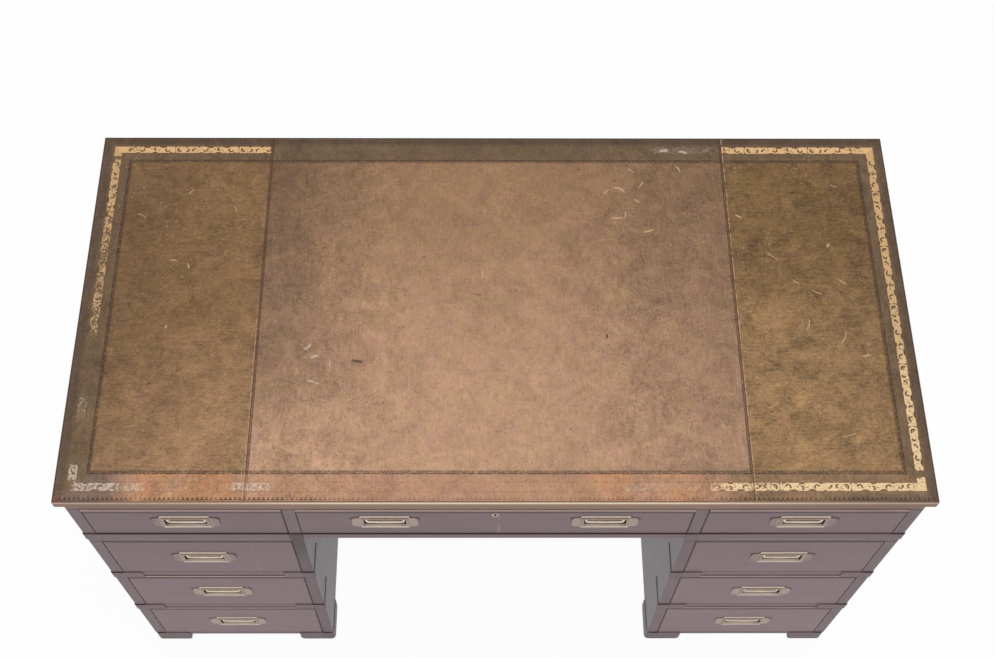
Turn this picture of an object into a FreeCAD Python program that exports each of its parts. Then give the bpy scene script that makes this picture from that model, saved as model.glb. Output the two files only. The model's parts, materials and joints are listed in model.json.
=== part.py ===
import FreeCAD, Part
import Sketcher
import os
import re

# A campaign desk in millimetres: a leather-lined top section with three frieze drawers
# stands on two pedestals, each a stack of three single-drawer cases on bracket feet.
# X runs along the desk, the drawers open towards -Y, and Z = 0 is the floor.

PARTS_FOLDER = "parts"

# The driving dimensions. Each has one cell of the sheet, and everything else is bound to them.
DIMENSIONS = {
    # top board and its leather
    "top_width": 1372,
    "top_depth": 684,
    "top_thickness": 20,
    "top_overhang": 8.5,
    "top_edge_round": 1.5,
    "leather_thickness": 1.2,
    "leather_lip": 2,
    "left_leather_width": 294,
    "right_leather_width": 283,
    # cases
    "pedestal_width": 359,
    "side_thickness": 20,
    "back_thickness": 12,
    "dust_thickness": 8,
    "frieze_rail_height": 35,
    "frieze_rail_depth": 24,
    "first_rail_height": 16,
    "tier_rail_height": 8,
    # bracket bases
    "base_height": 25,
    "apron_height": 18,
    "foot_reach": 54,
    "foot_proud": 2,
    "foot_round": 3,
    "plinth_height": 42,
    "plinth_apron_height": 11,
    "plinth_foot_reach": 68,
    "plinth_foot_round": 9,
    "plinth_toe_round": 10,
    # drawers
    "drawer_height": 162,
    "frieze_drawer_height": 109,
    "bead_proud": 3,
    "bead_height": 4.5,
    "drawer_gap": 1,
    "slide_clearance": 0.3,
    "drawer_end_gap": 19,
    "front_thickness": 20,
    "front_lap": 6,
    "front_softening": 0.8,
    "lining_thickness": 9,
    "side_drop": 5,
    "bottom_thickness": 6,
    "bottom_raise": 9,
    "groove_depth": 4,
    "pin_width": 4,
    "pin_flare": 2.3,
    "tail_pitch": 40,
    "stop_width": 40,
    "stop_depth": 14,
    "stop_height": 5,
    # recessed handles
    "plate_width": 107,
    "plate_height": 52,
    "plate_body_width": 80,
    "plate_lobe_height": 38,
    "plate_lobe_round": 9,
    "plate_thickness": 2,
    "plate_proud": 1,
    "rim_width": 4,
    "rim_proud": 1.5,
    "well_width": 68,
    "well_height": 30,
    "well_depth": 10,
    "well_wall": 1.5,
    "bail_thickness": 5,
    "bail_drop": 13,
    "bail_bend": 6,
    "bail_pivot_rise": 9,
    "bail_pivot_depth": 2,
    "bail_side_gap": 1,
    "pin_thickness": 2.6,
    "pin_clearance": 0.08,
    "center_handle_offset": 177.5,
    # lock of the centre drawer
    "escutcheon_width": 13,
    "escutcheon_height": 19,
    "escutcheon_thickness": 1.5,
    "escutcheon_proud": 0.6,
    "keyhole_width": 5,
    "key_slot_width": 2.4,
    "key_slot_drop": 8,
    "lock_width": 62,
    "lock_height": 40,
    "lock_thickness": 8,
    "lock_key_drop": 20,
    "bolt_width": 22,
    "bolt_thickness": 4,
    "bolt_travel": 7,
    "bolt_clearance": 0.3,
    "bolt_end_room": 2,
}

# Lengths and levels that follow from the driving dimensions.
LAYOUT = {
    "case_width": "top_width - 2 * top_overhang",
    "case_depth": "top_depth - 2 * top_overhang",
    "case_front": "-case_depth / 2",
    "case_back": "case_depth / 2",
    "knee_width": "case_width - 2 * pedestal_width",
    "opening_width": "pedestal_width - 2 * side_thickness",
    "opening_height": "drawer_height + 2 * drawer_gap",
    "frieze_opening_height": "frieze_drawer_height + 2 * drawer_gap",
    "joint_3": "plinth_height",
    "top_3": "joint_3 + opening_height + tier_rail_height",
    "joint_2": "top_3 + base_height",
    "top_2": "joint_2 + opening_height + tier_rail_height",
    "joint_1": "top_2 + base_height",
    "top_1": "joint_1 + opening_height + first_rail_height",
    "frieze_joint": "top_1 + base_height",
    "frieze_top": "frieze_joint + frieze_opening_height + frieze_rail_height",
    "inside_length": "case_depth - 2 * side_thickness",
    "drawer_length": "case_depth - back_thickness - drawer_end_gap",
    "left_start": "-case_width / 2",
    "right_start": "case_width / 2 - pedestal_width",
    "pedestal_front_width": "opening_width - 2 * drawer_gap",
    "center_front_width": "knee_width - 2 * drawer_gap",
    "lining_height": "drawer_gap + drawer_height - side_drop - slide_clearance",
    "frieze_lining_height": "drawer_gap + frieze_drawer_height - side_drop - slide_clearance",
    "cup_width": "well_width + 2 * well_wall",
    "cup_height": "well_height + 2 * well_wall",
    "key_level": "drawer_gap + frieze_drawer_height - lock_key_drop",
}

TIERS = {
    1: {"joint": "joint_1", "top": "top_1", "rail": "first_rail_height", "skirt": "base_height",
        "reach": "foot_reach", "apron": "apron_height", "round": "foot_round", "toe": None},
    2: {"joint": "joint_2", "top": "top_2", "rail": "tier_rail_height", "skirt": "base_height",
        "reach": "foot_reach", "apron": "apron_height", "round": "foot_round", "toe": None},
    3: {"joint": "joint_3", "top": "top_3", "rail": "tier_rail_height",
        "skirt": "plinth_apron_height", "reach": "plinth_foot_reach",
        "apron": "plinth_apron_height", "round": "plinth_foot_round",
        "toe": "plinth_toe_round"},
}
PEDESTALS = {"left": "left_start", "right": "right_start"}

ALONG_X = FreeCAD.Vector(1, 0, 0)
ALONG_Y = FreeCAD.Vector(0, 1, 0)
ALONG_Z = FreeCAD.Vector(0, 0, 1)
NEAR = 1e-6

doc = FreeCAD.newDocument("campaign_desk")
sheet = doc.addObject("Spreadsheet::Sheet", "Dims")
for row, (alias, number) in enumerate(DIMENSIONS.items(), start=1):
    sheet.set(f"A{row}", alias)
    sheet.set(f"B{row}", str(number))
    sheet.setAlias(f"B{row}", alias)
doc.recompute()

nodes = []


# ---------------------------------------------------------------- helpers

def formula(text):
    """Write a formula on named lengths as an expression on the sheet."""
    def expand(match):
        word = match.group()
        if word in LAYOUT:
            return "(" + formula(LAYOUT[word]) + ")"
        return "Dims." + word
    return re.sub(r"[a-z][a-z0-9_]*", expand, str(text))


def value(text):
    """The length that a formula stands for now."""
    return float(sheet.evalExpression(formula(text)))


def bind(item, **formulas):
    """Bind properties of an object to formulas."""
    for name, text in formulas.items():
        item.setExpression(name, formula(text))
    return item


def place(item, x="0", y="0", z="0"):
    """Bind an object's place to formulas."""
    for axis, text in zip("xyz", (x, y, z)):
        item.setExpression("Placement.Base." + axis, formula(text))
    return item


def board(name, start, size):
    """A squared board from its lowest corner and its length, depth and height."""
    item = doc.addObject("Part::Box", name)
    bind(item, Length=size[0], Width=size[1], Height=size[2])
    return place(item, *start)


def rod(name, axis, center, start, length, diameter):
    """A round rod along X or Y: its axis passes through center, two formulas across the axis."""
    item = doc.addObject("Part::Cylinder", name)
    bind(item, Radius=f"({diameter}) / 2", Height=length)
    if axis == "X":
        item.Placement.Rotation = FreeCAD.Rotation(ALONG_Y, 90)
        return place(item, start, *center)
    item.Placement.Rotation = FreeCAD.Rotation(ALONG_X, -90)
    return place(item, center[0], start, center[1])


def group(name, items):
    """Separate solids kept together."""
    item = doc.addObject("Part::Compound", name)
    item.Links = items
    return item


def fuse(name, items):
    item = doc.addObject("Part::MultiFuse", name)
    item.Shapes = items
    item.Refine = True
    return item


def cut(name, base, tools):
    """The base without its tools."""
    item = doc.addObject("Part::Cut", name)
    item.Base = base
    item.Tool = tools[0] if len(tools) == 1 else group(name + "_tools", tools)
    return item


def node(item, label, x="0", y="0", z="0"):
    """Name a finished sub-part and put it in its place."""
    item.Label = label
    place(item, x, y, z)
    nodes.append(item)
    return item


def origin_plane(body, role):
    return next(plane for plane in body.Origin.OriginFeatures if plane.Role == role)


def outline(body, name, role, corners):
    """A closed sketch through corners, each a pair of formulas measured from the origin."""
    sketch = body.newObject("Sketcher::SketchObject", name)
    sketch.AttachmentSupport = [(origin_plane(body, role), "")]
    sketch.MapMode = "FlatFace"
    points = [FreeCAD.Vector(value(across), value(up), 0) for across, up in corners]
    count = len(points)
    for index, point in enumerate(points):
        sketch.addGeometry(Part.LineSegment(point, points[(index + 1) % count]))
    for index in range(count):
        following = (index + 1) % count
        sketch.addConstraint(Sketcher.Constraint("Coincident", index, 2, following, 1))
    for index, (point, corner) in enumerate(zip(points, corners)):
        for kind, length, text in (("DistanceX", point.x, corner[0]),
                                   ("DistanceY", point.y, corner[1])):
            number = sketch.addConstraint(
                Sketcher.Constraint(kind, -1, 1, index, 1, length))
            sketch.setExpression(f"Constraints[{number}]", formula(text))
    return sketch


def pad(body, name, sketch, length):
    """Raise a sketch along its normal."""
    feature = body.newObject("PartDesign::Pad", name)
    feature.Profile = sketch
    return bind(feature, Length=length)


def edges_along(shape, direction, test=lambda middle: True):
    """Names of the straight edges along a direction whose middle passes a test."""
    found = []
    for index, edge in enumerate(shape.Edges, start=1):
        if not isinstance(edge.Curve, Part.Line):
            continue
        if edge.Curve.Direction.cross(direction).Length < NEAR:
            middle = edge.valueAt((edge.FirstParameter + edge.LastParameter) / 2)
            if test(middle):
                found.append(f"Edge{index}")
    return found


def soften(body, name, kind, base, names, **sizes):
    """Round or chamfer named edges or faces of a body's last feature."""
    feature = body.newObject("PartDesign::" + kind, name)
    feature.Base = (base, names)
    bind(feature, **sizes)
    doc.recompute()
    return feature


# ---------------------------------------------------------------- top board and leather

def top_board():
    """The top: a rounded-edge board with a shallow sinking for its leather."""
    body = doc.addObject("PartDesign::Body", "TopBoard")
    half = ("top_width / 2", "top_depth / 2")
    rim = outline(body, "TopOutline", "XY_Plane", rectangle(*half))
    slab = pad(body, "TopSlab", rim, "top_thickness")
    doc.recompute()

    top_level = value("top_thickness")
    names = [name for way in (ALONG_X, ALONG_Y) for name in
             edges_along(slab.Shape, way, lambda middle: abs(middle.z - top_level) < NEAR)]
    rounded = soften(body, "TopEdges", "Fillet", slab, names, Radius="top_edge_round")

    inner = [f"{text} - leather_lip" for text in half]
    sinking = outline(body, "LeatherOutline", "XY_Plane", rectangle(*inner))
    bind_height(sinking, "top_thickness")
    pocket = body.newObject("PartDesign::Pocket", "LeatherSinking")
    pocket.Profile = sinking
    bind(pocket, Length="leather_thickness")
    doc.recompute()
    require(pocket.Shape.Volume < rounded.Shape.Volume, "the sinking cuts the top board")
    return node(body, "top_board", z="frieze_top")


def rectangle(half_width, half_depth):
    """Corners of a rectangle about the origin."""
    return [(f"-({half_width})", f"-({half_depth})"), (half_width, f"-({half_depth})"),
            (half_width, half_depth), (f"-({half_width})", half_depth)]


def bind_height(sketch, level):
    sketch.setExpression("AttachmentOffset.Base.z", formula(level))


def leather_panels():
    """Three skivers of leather, butted edge to edge in the sinking of the top."""
    level = "frieze_top + top_thickness - leather_thickness"
    inner_half = "(top_width / 2 - leather_lip)"
    depth = "(top_depth - 2 * leather_lip)"
    center_start = f"-{inner_half} + left_leather_width"
    panels = {
        "leather_left": (f"-{inner_half}", "left_leather_width"),
        "leather_center": (center_start,
                           f"2 * {inner_half} - left_leather_width - right_leather_width"),
        "leather_right": (f"{inner_half} - right_leather_width", "right_leather_width"),
    }
    for label, (start, width) in panels.items():
        item = board(label + "_sheet", ("0", "0", "0"), (width, depth, "leather_thickness"))
        node(item, label, start, f"-{depth} / 2", level)


# ---------------------------------------------------------------- cases

def side_board(name, x, bottom, joint, top, reach):
    """An upright board whose lower corners are cut away for the bracket feet."""
    body = doc.addObject("PartDesign::Body", name)
    front_notch = f"case_front + {reach}"
    back_notch = f"case_back - {reach}"
    corners = [(front_notch, bottom), (back_notch, bottom), (back_notch, joint),
               ("case_back", joint), ("case_back", top), ("case_front", top),
               ("case_front", joint), (front_notch, joint)]
    sketch = outline(body, name + "_outline", "YZ_Plane", corners)
    pad(body, name + "_pad", sketch, "side_thickness")
    return place(body, x)


def case_board(name, x, width, low, height, front="case_front", depth="case_depth"):
    """A board between the sides of a case."""
    return board(name, (x, front, low), (width, depth, height))


def apron_pair(name, x, width, joint, height, proud="0"):
    """The front and back aprons under a case, standing proud of it by a given amount."""
    low = f"{joint} - ({height})"
    depth = f"side_thickness + {proud}"
    starts = {"front": f"case_front - {proud}", "back": "case_back - side_thickness"}
    return [board(f"{name}_{end}", (x, start, low), (width, depth, height))
            for end, start in starts.items()]


def tier_case(side, tier):
    """One single-drawer case: two sides, top, dust board, back and two aprons."""
    spec = TIERS[tier]
    joint, top, start = spec["joint"], spec["top"], PEDESTALS[side]
    name = f"{side}_case_{tier}"
    bottom = f"{joint} - {spec['skirt']}"
    inner = f"{start} + side_thickness"
    ends = {"a": start, "b": f"{start} + pedestal_width - side_thickness"}
    boards = [side_board(f"{name}_side_{end}", x, bottom, joint, top, spec["reach"])
              for end, x in ends.items()]
    boards.append(case_board(f"{name}_top", inner, "opening_width",
                             f"{top} - {spec['rail']}", spec["rail"]))
    boards.append(case_board(f"{name}_dust", inner, "opening_width",
                             f"{joint} - dust_thickness", "dust_thickness",
                             "case_front + side_thickness", "inside_length"))
    boards.append(case_board(f"{name}_back", inner, "opening_width", joint,
                             f"{top} - {spec['rail']} - {joint}",
                             "case_back - back_thickness", "back_thickness"))
    boards += apron_pair(f"{name}_apron", f"{start} + {spec['reach']}",
                         f"pedestal_width - 2 * {spec['reach']}", joint, spec["apron"])
    node(group(name, boards), name)


def frieze_case(feet):
    """The top section's case, open under the top board; its dust boards fit round the feet."""
    low = "frieze_joint"
    uprights = {"frieze_sides": ("left_start", "case_width / 2 - side_thickness"),
                "frieze_dividers": ("-knee_width / 2 - side_thickness", "knee_width / 2")}
    for label, places in uprights.items():
        pair = [side_board(f"{label}_{index}", x, "top_1", low, "frieze_top", "foot_reach")
                for index, x in enumerate(places)]
        if label == "frieze_dividers":
            rail_space = case_board("divider_rail_space", "-case_width / 2", "case_width",
                                    "frieze_top - frieze_rail_height", "frieze_rail_height",
                                    "case_front", "frieze_rail_depth")
            back_space = case_board("divider_back_space", "-case_width / 2", "case_width",
                                    low, "frieze_top - frieze_joint",
                                    "case_back - back_thickness", "back_thickness")
            node(cut(label, group(label + "_blank", pair), [rail_space, back_space]), label)
        else:
            node(group(label, pair), label)

    inner_start = "-case_width / 2 + side_thickness"
    inner_width = "case_width - 2 * side_thickness"
    rail = case_board("frieze_rail_blank", inner_start, inner_width,
                      "frieze_top - frieze_rail_height", "frieze_rail_height",
                      "case_front", "frieze_rail_depth")
    bolt_slot = board("bolt_slot",
                      ("-(bolt_width / 2 + bolt_clearance)",
                       f"{lock_front()} - bolt_clearance",
                       "frieze_top - frieze_rail_height"),
                      ("bolt_width + 2 * bolt_clearance", "bolt_thickness + 2 * bolt_clearance",
                       "bolt_travel + bolt_end_room"))
    node(cut("frieze_rail", rail, [bolt_slot]), "frieze_top_rail")
    back = case_board("frieze_back_board", inner_start, inner_width, low,
                      "frieze_top - frieze_joint", "case_back - back_thickness",
                      "back_thickness")
    node(back, "frieze_back", inner_start, "case_back - back_thickness", low)

    bays = {"left": (inner_start, "opening_width"), "center": ("-knee_width / 2", "knee_width"),
            "right": ("right_start + side_thickness", "opening_width")}
    dust = [case_board(f"frieze_dust_{bay}", x, width, f"{low} - dust_thickness",
                       "dust_thickness", "case_front + side_thickness", "inside_length")
            for bay, (x, width) in bays.items()]
    node(cut("frieze_dust", group("frieze_dust_blanks", dust), [feet]), "frieze_dust_boards")

    over_pedestal = "pedestal_width - 2 * foot_reach"
    aprons = apron_pair("frieze_apron_left", "left_start + foot_reach", over_pedestal,
                        low, "apron_height", "foot_proud")
    aprons += apron_pair("frieze_apron_knee", "-knee_width / 2 + foot_proud",
                         "knee_width - 2 * foot_proud", low, "apron_height", "foot_proud")
    aprons += apron_pair("frieze_apron_right", "right_start + foot_reach", over_pedestal,
                         low, "apron_height", "foot_proud")
    node(group("frieze_aprons", aprons), "frieze_aprons")


# ---------------------------------------------------------------- bracket feet

def foot(name, reach, height, joint, roundness, toe):
    """The front left bracket foot of a pedestal at X = 0: two boards mitred at the corner."""
    body = doc.addObject("PartDesign::Body", name)
    outer = "-foot_proud"
    face = "case_front - foot_proud"
    inside = "case_front + side_thickness"
    corners = [(outer, face), (reach, face), (reach, inside), ("side_thickness", inside),
               ("side_thickness", f"case_front + {reach}"), (outer, f"case_front + {reach}")]
    bottom = f"{joint} - {height}"
    sketch = outline(body, name + "_outline", "XY_Plane", corners)
    bind_height(sketch, bottom)
    block = pad(body, name + "_pad", sketch, height)
    doc.recompute()

    corner_x, corner_y = value(outer), value(face)
    upright = edges_along(block.Shape, ALONG_Z, lambda middle: (
        abs(middle.x - corner_x) < NEAR and abs(middle.y - corner_y) < NEAR))
    rounded = soften(body, name + "_corner", "Fillet", block, upright, Radius=roundness)
    if toe:
        sole, end_x, end_y = value(bottom), value(reach), value(f"case_front + {reach}")
        toes = edges_along(rounded.Shape, ALONG_Y, lambda middle: (
            abs(middle.x - end_x) < NEAR and abs(middle.z - sole) < NEAR))
        toes += edges_along(rounded.Shape, ALONG_X, lambda middle: (
            abs(middle.y - end_y) < NEAR and abs(middle.z - sole) < NEAR))
        soften(body, name + "_toe", "Fillet", rounded, toes, Radius=toe)

    half = doc.addObject("PartDesign::Body", name + "_half")
    wedge = outline(half, name + "_mitre", "XY_Plane",
                    [(outer, face), (reach, face), (reach, f"{face} + {reach} + foot_proud")])
    bind_height(wedge, bottom)
    pad(half, name + "_half_pad", wedge, height)
    front = doc.addObject("Part::MultiCommon", name + "_front")
    front.Shapes = [body, half]
    return group(name + "_boards", [front, cut(name + "_side", body, [half])])


def mirrored(name, source, normal, base="0"):
    """A mirror image of an object, across X = base or Y = 0."""
    item = doc.addObject("Part::Mirroring", name)
    item.Source = source
    item.Normal = normal
    item.setExpression("Base.x", formula(base))
    return item


def feet_set(name, reach, height, joint, roundness, toe=None):
    """Four feet under the corners of a case that starts at X = 0."""
    first = foot(name + "_foot", reach, height, joint, roundness, toe)
    second = mirrored(name + "_foot_b", first, ALONG_X, "pedestal_width / 2")
    front = group(name + "_front", [first, second])
    back = mirrored(name + "_back", front, ALONG_Y)
    return group(name, [front, back])


def pedestal_feet():
    """The feet of each pedestal's three cases."""
    for side, start in PEDESTALS.items():
        sets = []
        for tier, spec in TIERS.items():
            height = "plinth_height" if tier == 3 else "base_height"
            sets.append(feet_set(f"{side}_feet_{tier}", spec["reach"], height,
                                 spec["joint"], spec["round"], spec["toe"]))
        node(group(f"{side}_feet", sets), f"{side}_bracket_feet", start)


def frieze_feet():
    """The eight feet of the top section, over the corners of both pedestals."""
    pair = []
    for side, start in PEDESTALS.items():
        feet = feet_set(f"frieze_feet_{side}", "foot_reach", "base_height", "frieze_joint",
                        "foot_round")
        pair.append(place(feet, start))
    return node(group("frieze_feet", pair), "frieze_bracket_feet")


# ---------------------------------------------------------------- recessed handles

def plate_blank(name, x, z):
    """The solid outside of a handle plate: shouldered face plate with the cup behind it."""
    face = "-plate_proud"
    body_part = board(f"{name}_body", (f"{x} - plate_body_width / 2", face,
                                       f"{z} - plate_height / 2"),
                      ("plate_body_width", "plate_thickness", "plate_height"))
    lobes = doc.addObject("PartDesign::Body", f"{name}_lobes")
    sketch = outline(lobes, f"{name}_lobe_outline", "XZ_Plane",
                     rectangle("plate_width / 2", "plate_lobe_height / 2"))
    bind_height(sketch, f"-({face} + plate_thickness)")
    plain = pad(lobes, f"{name}_lobe_pad", sketch, "plate_thickness")
    doc.recompute()
    soften(lobes, f"{name}_lobe_ends", "Fillet", plain, edges_along(plain.Shape, ALONG_Y),
           Radius="plate_lobe_round")
    place(lobes, x, "0", z)
    cup = board(f"{name}_cup", (f"{x} - cup_width / 2", face, f"{z} - cup_height / 2"),
                ("cup_width", "plate_proud + well_depth + well_wall", "cup_height"))
    return fuse(f"{name}_blank", [body_part, lobes, cup])


def handle_plate(name, blank, x, z):
    """The brass plate: a raised rim about an open well, with a pivot hole in each cheek."""
    rim_face = "-(plate_proud + rim_proud)"
    rim = board(f"{name}_rim", (f"{x} - well_width / 2 - rim_width", rim_face,
                                f"{z} - well_height / 2 - rim_width"),
                ("well_width + 2 * rim_width", "rim_proud", "well_height + 2 * rim_width"))
    well = board(f"{name}_well", (f"{x} - well_width / 2", rim_face,
                                  f"{z} - well_height / 2"),
                 ("well_width", "plate_proud + rim_proud + well_depth", "well_height"))
    pivot_hole = rod(f"{name}_pivot_hole", "X", ("bail_pivot_depth", f"{z} + bail_pivot_rise"),
                     f"{x} - cup_width / 2", "cup_width", "pin_thickness + 2 * pin_clearance")
    return cut(name, fuse(f"{name}_whole", [blank, rim]), [well, pivot_hole])


def bail(name, x, z):
    """The swinging grip: a U of square bar with rounded bends and a pivot pin on each end."""
    reach = "(well_width / 2 - bail_side_gap)"
    inner = f"({reach} - bail_thickness)"
    low, high = "-(bail_drop + bail_thickness / 2)", "-(bail_drop - bail_thickness / 2)"
    end = "bail_thickness / 2"
    body = doc.addObject("PartDesign::Body", name + "_grip")
    corners = [(f"-{reach}", low), (reach, low), (reach, end), (inner, end),
               (inner, high), (f"-{inner}", high), (f"-{inner}", end), (f"-{reach}", end)]
    sketch = outline(body, name + "_outline", "XZ_Plane", corners)
    bind_height(sketch, "-bail_thickness / 2")
    bar = pad(body, name + "_bar", sketch, "bail_thickness")
    doc.recompute()

    bends = (("outer", low, "bail_bend + bail_thickness / 2"),
             ("inner", high, "bail_bend - bail_thickness / 2"))
    for side, level, radius in bends:
        bent = value(level)
        bar = soften(body, f"{name}_{side}_bend", "Fillet", bar,
                     edges_along(bar.Shape, ALONG_Y, lambda middle: abs(middle.z - bent) < NEAR),
                     Radius=radius)
    place(body, x, "bail_pivot_depth", f"{z} + bail_pivot_rise")

    pieces = [body]
    length = "(bail_thickness / 2 + bail_side_gap + well_wall)"
    for hand, start in (("left", f"{x} - {reach} - bail_side_gap - well_wall"),
                        ("right", f"{x} + {reach} - bail_thickness / 2")):
        pieces.append(rod(f"{name}_pin_{hand}", "X", ("bail_pivot_depth", f"{z} + bail_pivot_rise"),
                          start, length, "pin_thickness"))
    return fuse(name, pieces)


# ---------------------------------------------------------------- lock

def lock_front():
    """Depth of the lock's front face behind the face of the case."""
    return "(case_front + front_thickness - lock_thickness / 2)"


def key_shape(name, start, length):
    """The round and slot of a keyhole, as one cutter along Y."""
    eye = rod(f"{name}_eye", "Y", ("0", "key_level"), start, length, "keyhole_width")
    slot = board(f"{name}_slot", ("-key_slot_width / 2", start, "key_level - key_slot_drop"),
                 ("key_slot_width", length, "key_slot_drop"))
    return fuse(name, [eye, slot])


def oval(name, y, length):
    """An upright oval prism about the keyhole."""
    ring = doc.addObject("Part::Ellipse", name + "_ring")
    bind(ring, MajorRadius="escutcheon_height / 2", MinorRadius="escutcheon_width / 2")
    ring.Placement.Rotation = FreeCAD.Rotation(ALONG_Z, ALONG_X, ALONG_Y, "XYZ")
    place(ring, "0", y, "key_level - key_slot_drop / 3")
    item = doc.addObject("Part::Extrusion", name)
    item.Base = ring
    item.DirMode = "Custom"
    item.Dir = ALONG_Y
    item.Solid = True
    return bind(item, LengthFwd=length)


# ---------------------------------------------------------------- drawers

def tail_gaps(name, width, height):
    """The flared gaps between the tails at both ends of a drawer's sides."""
    tails = max(2, round(value(height) / value("tail_pitch")))
    gaps = []
    for index in range(tails + 1):
        level = f"(slide_clearance + {index} * ({height}) / {tails})"
        narrow, wide = "pin_width / 2", "(pin_width / 2 + pin_flare)"
        for end, near, far, first, last in (
                ("front", "front_lap", "front_thickness", narrow, wide),
                ("back", "drawer_length - lining_thickness", "drawer_length", wide, narrow)):
            gap = doc.addObject("Part::Wedge", f"{name}_gap_{end}_{index}")
            bind(gap, Xmin=f"-({width}) / 2", X2min=f"-({width}) / 2", Xmax=f"({width}) / 2",
                 X2max=f"({width}) / 2", Ymin=near, Ymax=far,
                 Zmin=f"{level} - {first}", Zmax=f"{level} + {first}",
                 Z2min=f"{level} - {last}", Z2max=f"{level} + {last}")
            gaps.append(gap)
    return group(name + "_gaps", gaps)


def drawer_face(name, width, height, beaded):
    """The solid front of a drawer, with softened edges and perhaps a bead along its top."""
    body = doc.addObject("PartDesign::Body", name)
    sketch = outline(body, name + "_outline", "XZ_Plane",
                     [(f"-({width}) / 2", "drawer_gap"), (f"({width}) / 2", "drawer_gap"),
                      (f"({width}) / 2", f"drawer_gap + {height}"),
                      (f"-({width}) / 2", f"drawer_gap + {height}")])
    bind_height(sketch, "-front_thickness")
    block = pad(body, name + "_pad", sketch, "front_thickness")
    doc.recompute()
    faces = [f"Face{index}" for index, face in enumerate(block.Shape.Faces, start=1)
             if face.BoundBox.YMax < NEAR]
    soften(body, name + "_softening", "Chamfer", block, faces, Size="front_softening")
    if not beaded:
        return body
    bead = board(name + "_bead",
                 (f"-({width}) / 2", "-bead_proud", f"drawer_gap + {height} - bead_height"),
                 (width, "bead_proud + bead_height / 2", "bead_height"))
    return fuse(name + "_beaded", [body, bead])


def drawer(name, width, height, lining, handles, placement, beaded=False, lock=False):
    """A drawer in its own frame: dovetailed linings, solid front and recessed handles.

    Its face is at Y = 0, and Z = 0 is the dust board that it slides on.
    """
    low = "slide_clearance"
    side_start = f"-({width}) / 2"
    floor = board(f"{name}_floor",
                  (f"{side_start} + lining_thickness - groove_depth",
                   "front_thickness - groove_depth", f"{low} + bottom_raise"),
                  (f"({width}) - 2 * (lining_thickness - groove_depth)",
                   "drawer_length - front_thickness + groove_depth", "bottom_thickness"))
    blanks = [board(f"{name}_blank_{hand}", (x, "front_lap", low),
                    ("lining_thickness", "drawer_length - front_lap", lining))
              for hand, x in (("left", side_start),
                              ("right", f"({width}) / 2 - lining_thickness"))]
    gaps = tail_gaps(name, width, lining)
    sides = cut(f"{name}_sides", group(f"{name}_side_blanks", blanks), [gaps, floor])

    back_low = f"{low} + bottom_raise + bottom_thickness"
    back_blank = board(f"{name}_back_blank",
                       (side_start, "drawer_length - lining_thickness", back_low),
                       (width, "lining_thickness",
                        f"{lining} - bottom_raise - bottom_thickness"))
    back = cut(f"{name}_back", back_blank, [sides])
    node(group(f"{name}_linings", [sides, back, floor]), f"{name}_box", *placement)

    face = drawer_face(f"{name}_face", width, height, beaded)
    handle_level = f"(drawer_gap + ({height}) / 2)"
    blank_tools = []
    plates = []
    for suffix, x in handles.items():
        handle = f"{name}{suffix}"
        blank = plate_blank(f"{handle}_plate", x, handle_level)
        blank_tools.append(blank)
        plates.append(handle_plate(f"{handle}_plate_cut", blank, x, handle_level))
        node(bail(f"{handle}_bail_bar", x, handle_level), f"{handle}_bail", *placement)
    plate = plates[0] if len(plates) == 1 else group(f"{name}_plates", plates)
    node(plate, f"{name}_handle_plate", *placement)

    tools = [sides, floor] + blank_tools
    if lock:
        tools += drawer_lock(name, placement)
    node(cut(f"{name}_front_board", face, tools), f"{name}_front", *placement)


def drawer_lock(name, placement):
    """The centre drawer's lock: escutcheon, box lock let into the front, and its bolt."""
    keyhole = key_shape(f"{name}_keyhole", "-escutcheon_proud", "front_thickness")
    plate = oval(f"{name}_oval", "-escutcheon_proud", "escutcheon_thickness")
    node(cut("escutcheon_plate", plate, [keyhole]), "lock_escutcheon", *placement)

    back_face = "front_thickness - lock_thickness / 2"
    top = "drawer_gap + frieze_drawer_height"
    case = board("lock_case_blank", ("-lock_width / 2", back_face, f"{top} - lock_height"),
                 ("lock_width", "lock_thickness", "lock_height"))
    bolt_room = board("bolt_room",
                      ("-(bolt_width / 2 + bolt_clearance)", back_face,
                       f"{top} - lock_height / 2"),
                      ("bolt_width + 2 * bolt_clearance",
                       "bolt_thickness + 2 * bolt_clearance", "lock_height"))
    key_way = key_shape("lock_key_way", back_face, "lock_thickness / 2")
    node(cut("lock_case_body", case, [bolt_room, key_way]), "lock_case", *placement)
    bolt = board("lock_bolt_bar",
                 ("-bolt_width / 2", f"{back_face} + bolt_clearance",
                  f"{top} - lock_height / 2 + bolt_clearance"),
                 ("bolt_width", "bolt_thickness", "lock_height / 2 - bolt_clearance"))
    node(group("lock_bolt_group", [bolt]), "lock_bolt", *placement)
    return [keyhole, plate, case]


def all_drawers():
    single = {"": "0"}
    pair = {"_left": "-center_handle_offset", "_right": "center_handle_offset"}
    centers = {"left": "left_start + pedestal_width / 2",
               "right": "right_start + pedestal_width / 2"}
    for side, center in centers.items():
        drawer(f"{side}_frieze_drawer", "pedestal_front_width", "frieze_drawer_height",
               "frieze_lining_height", single,
               (center, "case_front", "frieze_joint"), beaded=True)
        for tier, spec in TIERS.items():
            drawer(f"{side}_drawer_{tier}", "pedestal_front_width", "drawer_height",
                   "lining_height", single, (center, "case_front", spec["joint"]))
    drawer("center_drawer", "center_front_width", "frieze_drawer_height",
           "frieze_lining_height", pair, ("0", "case_front", "frieze_joint"),
           beaded=True, lock=True)


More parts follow.
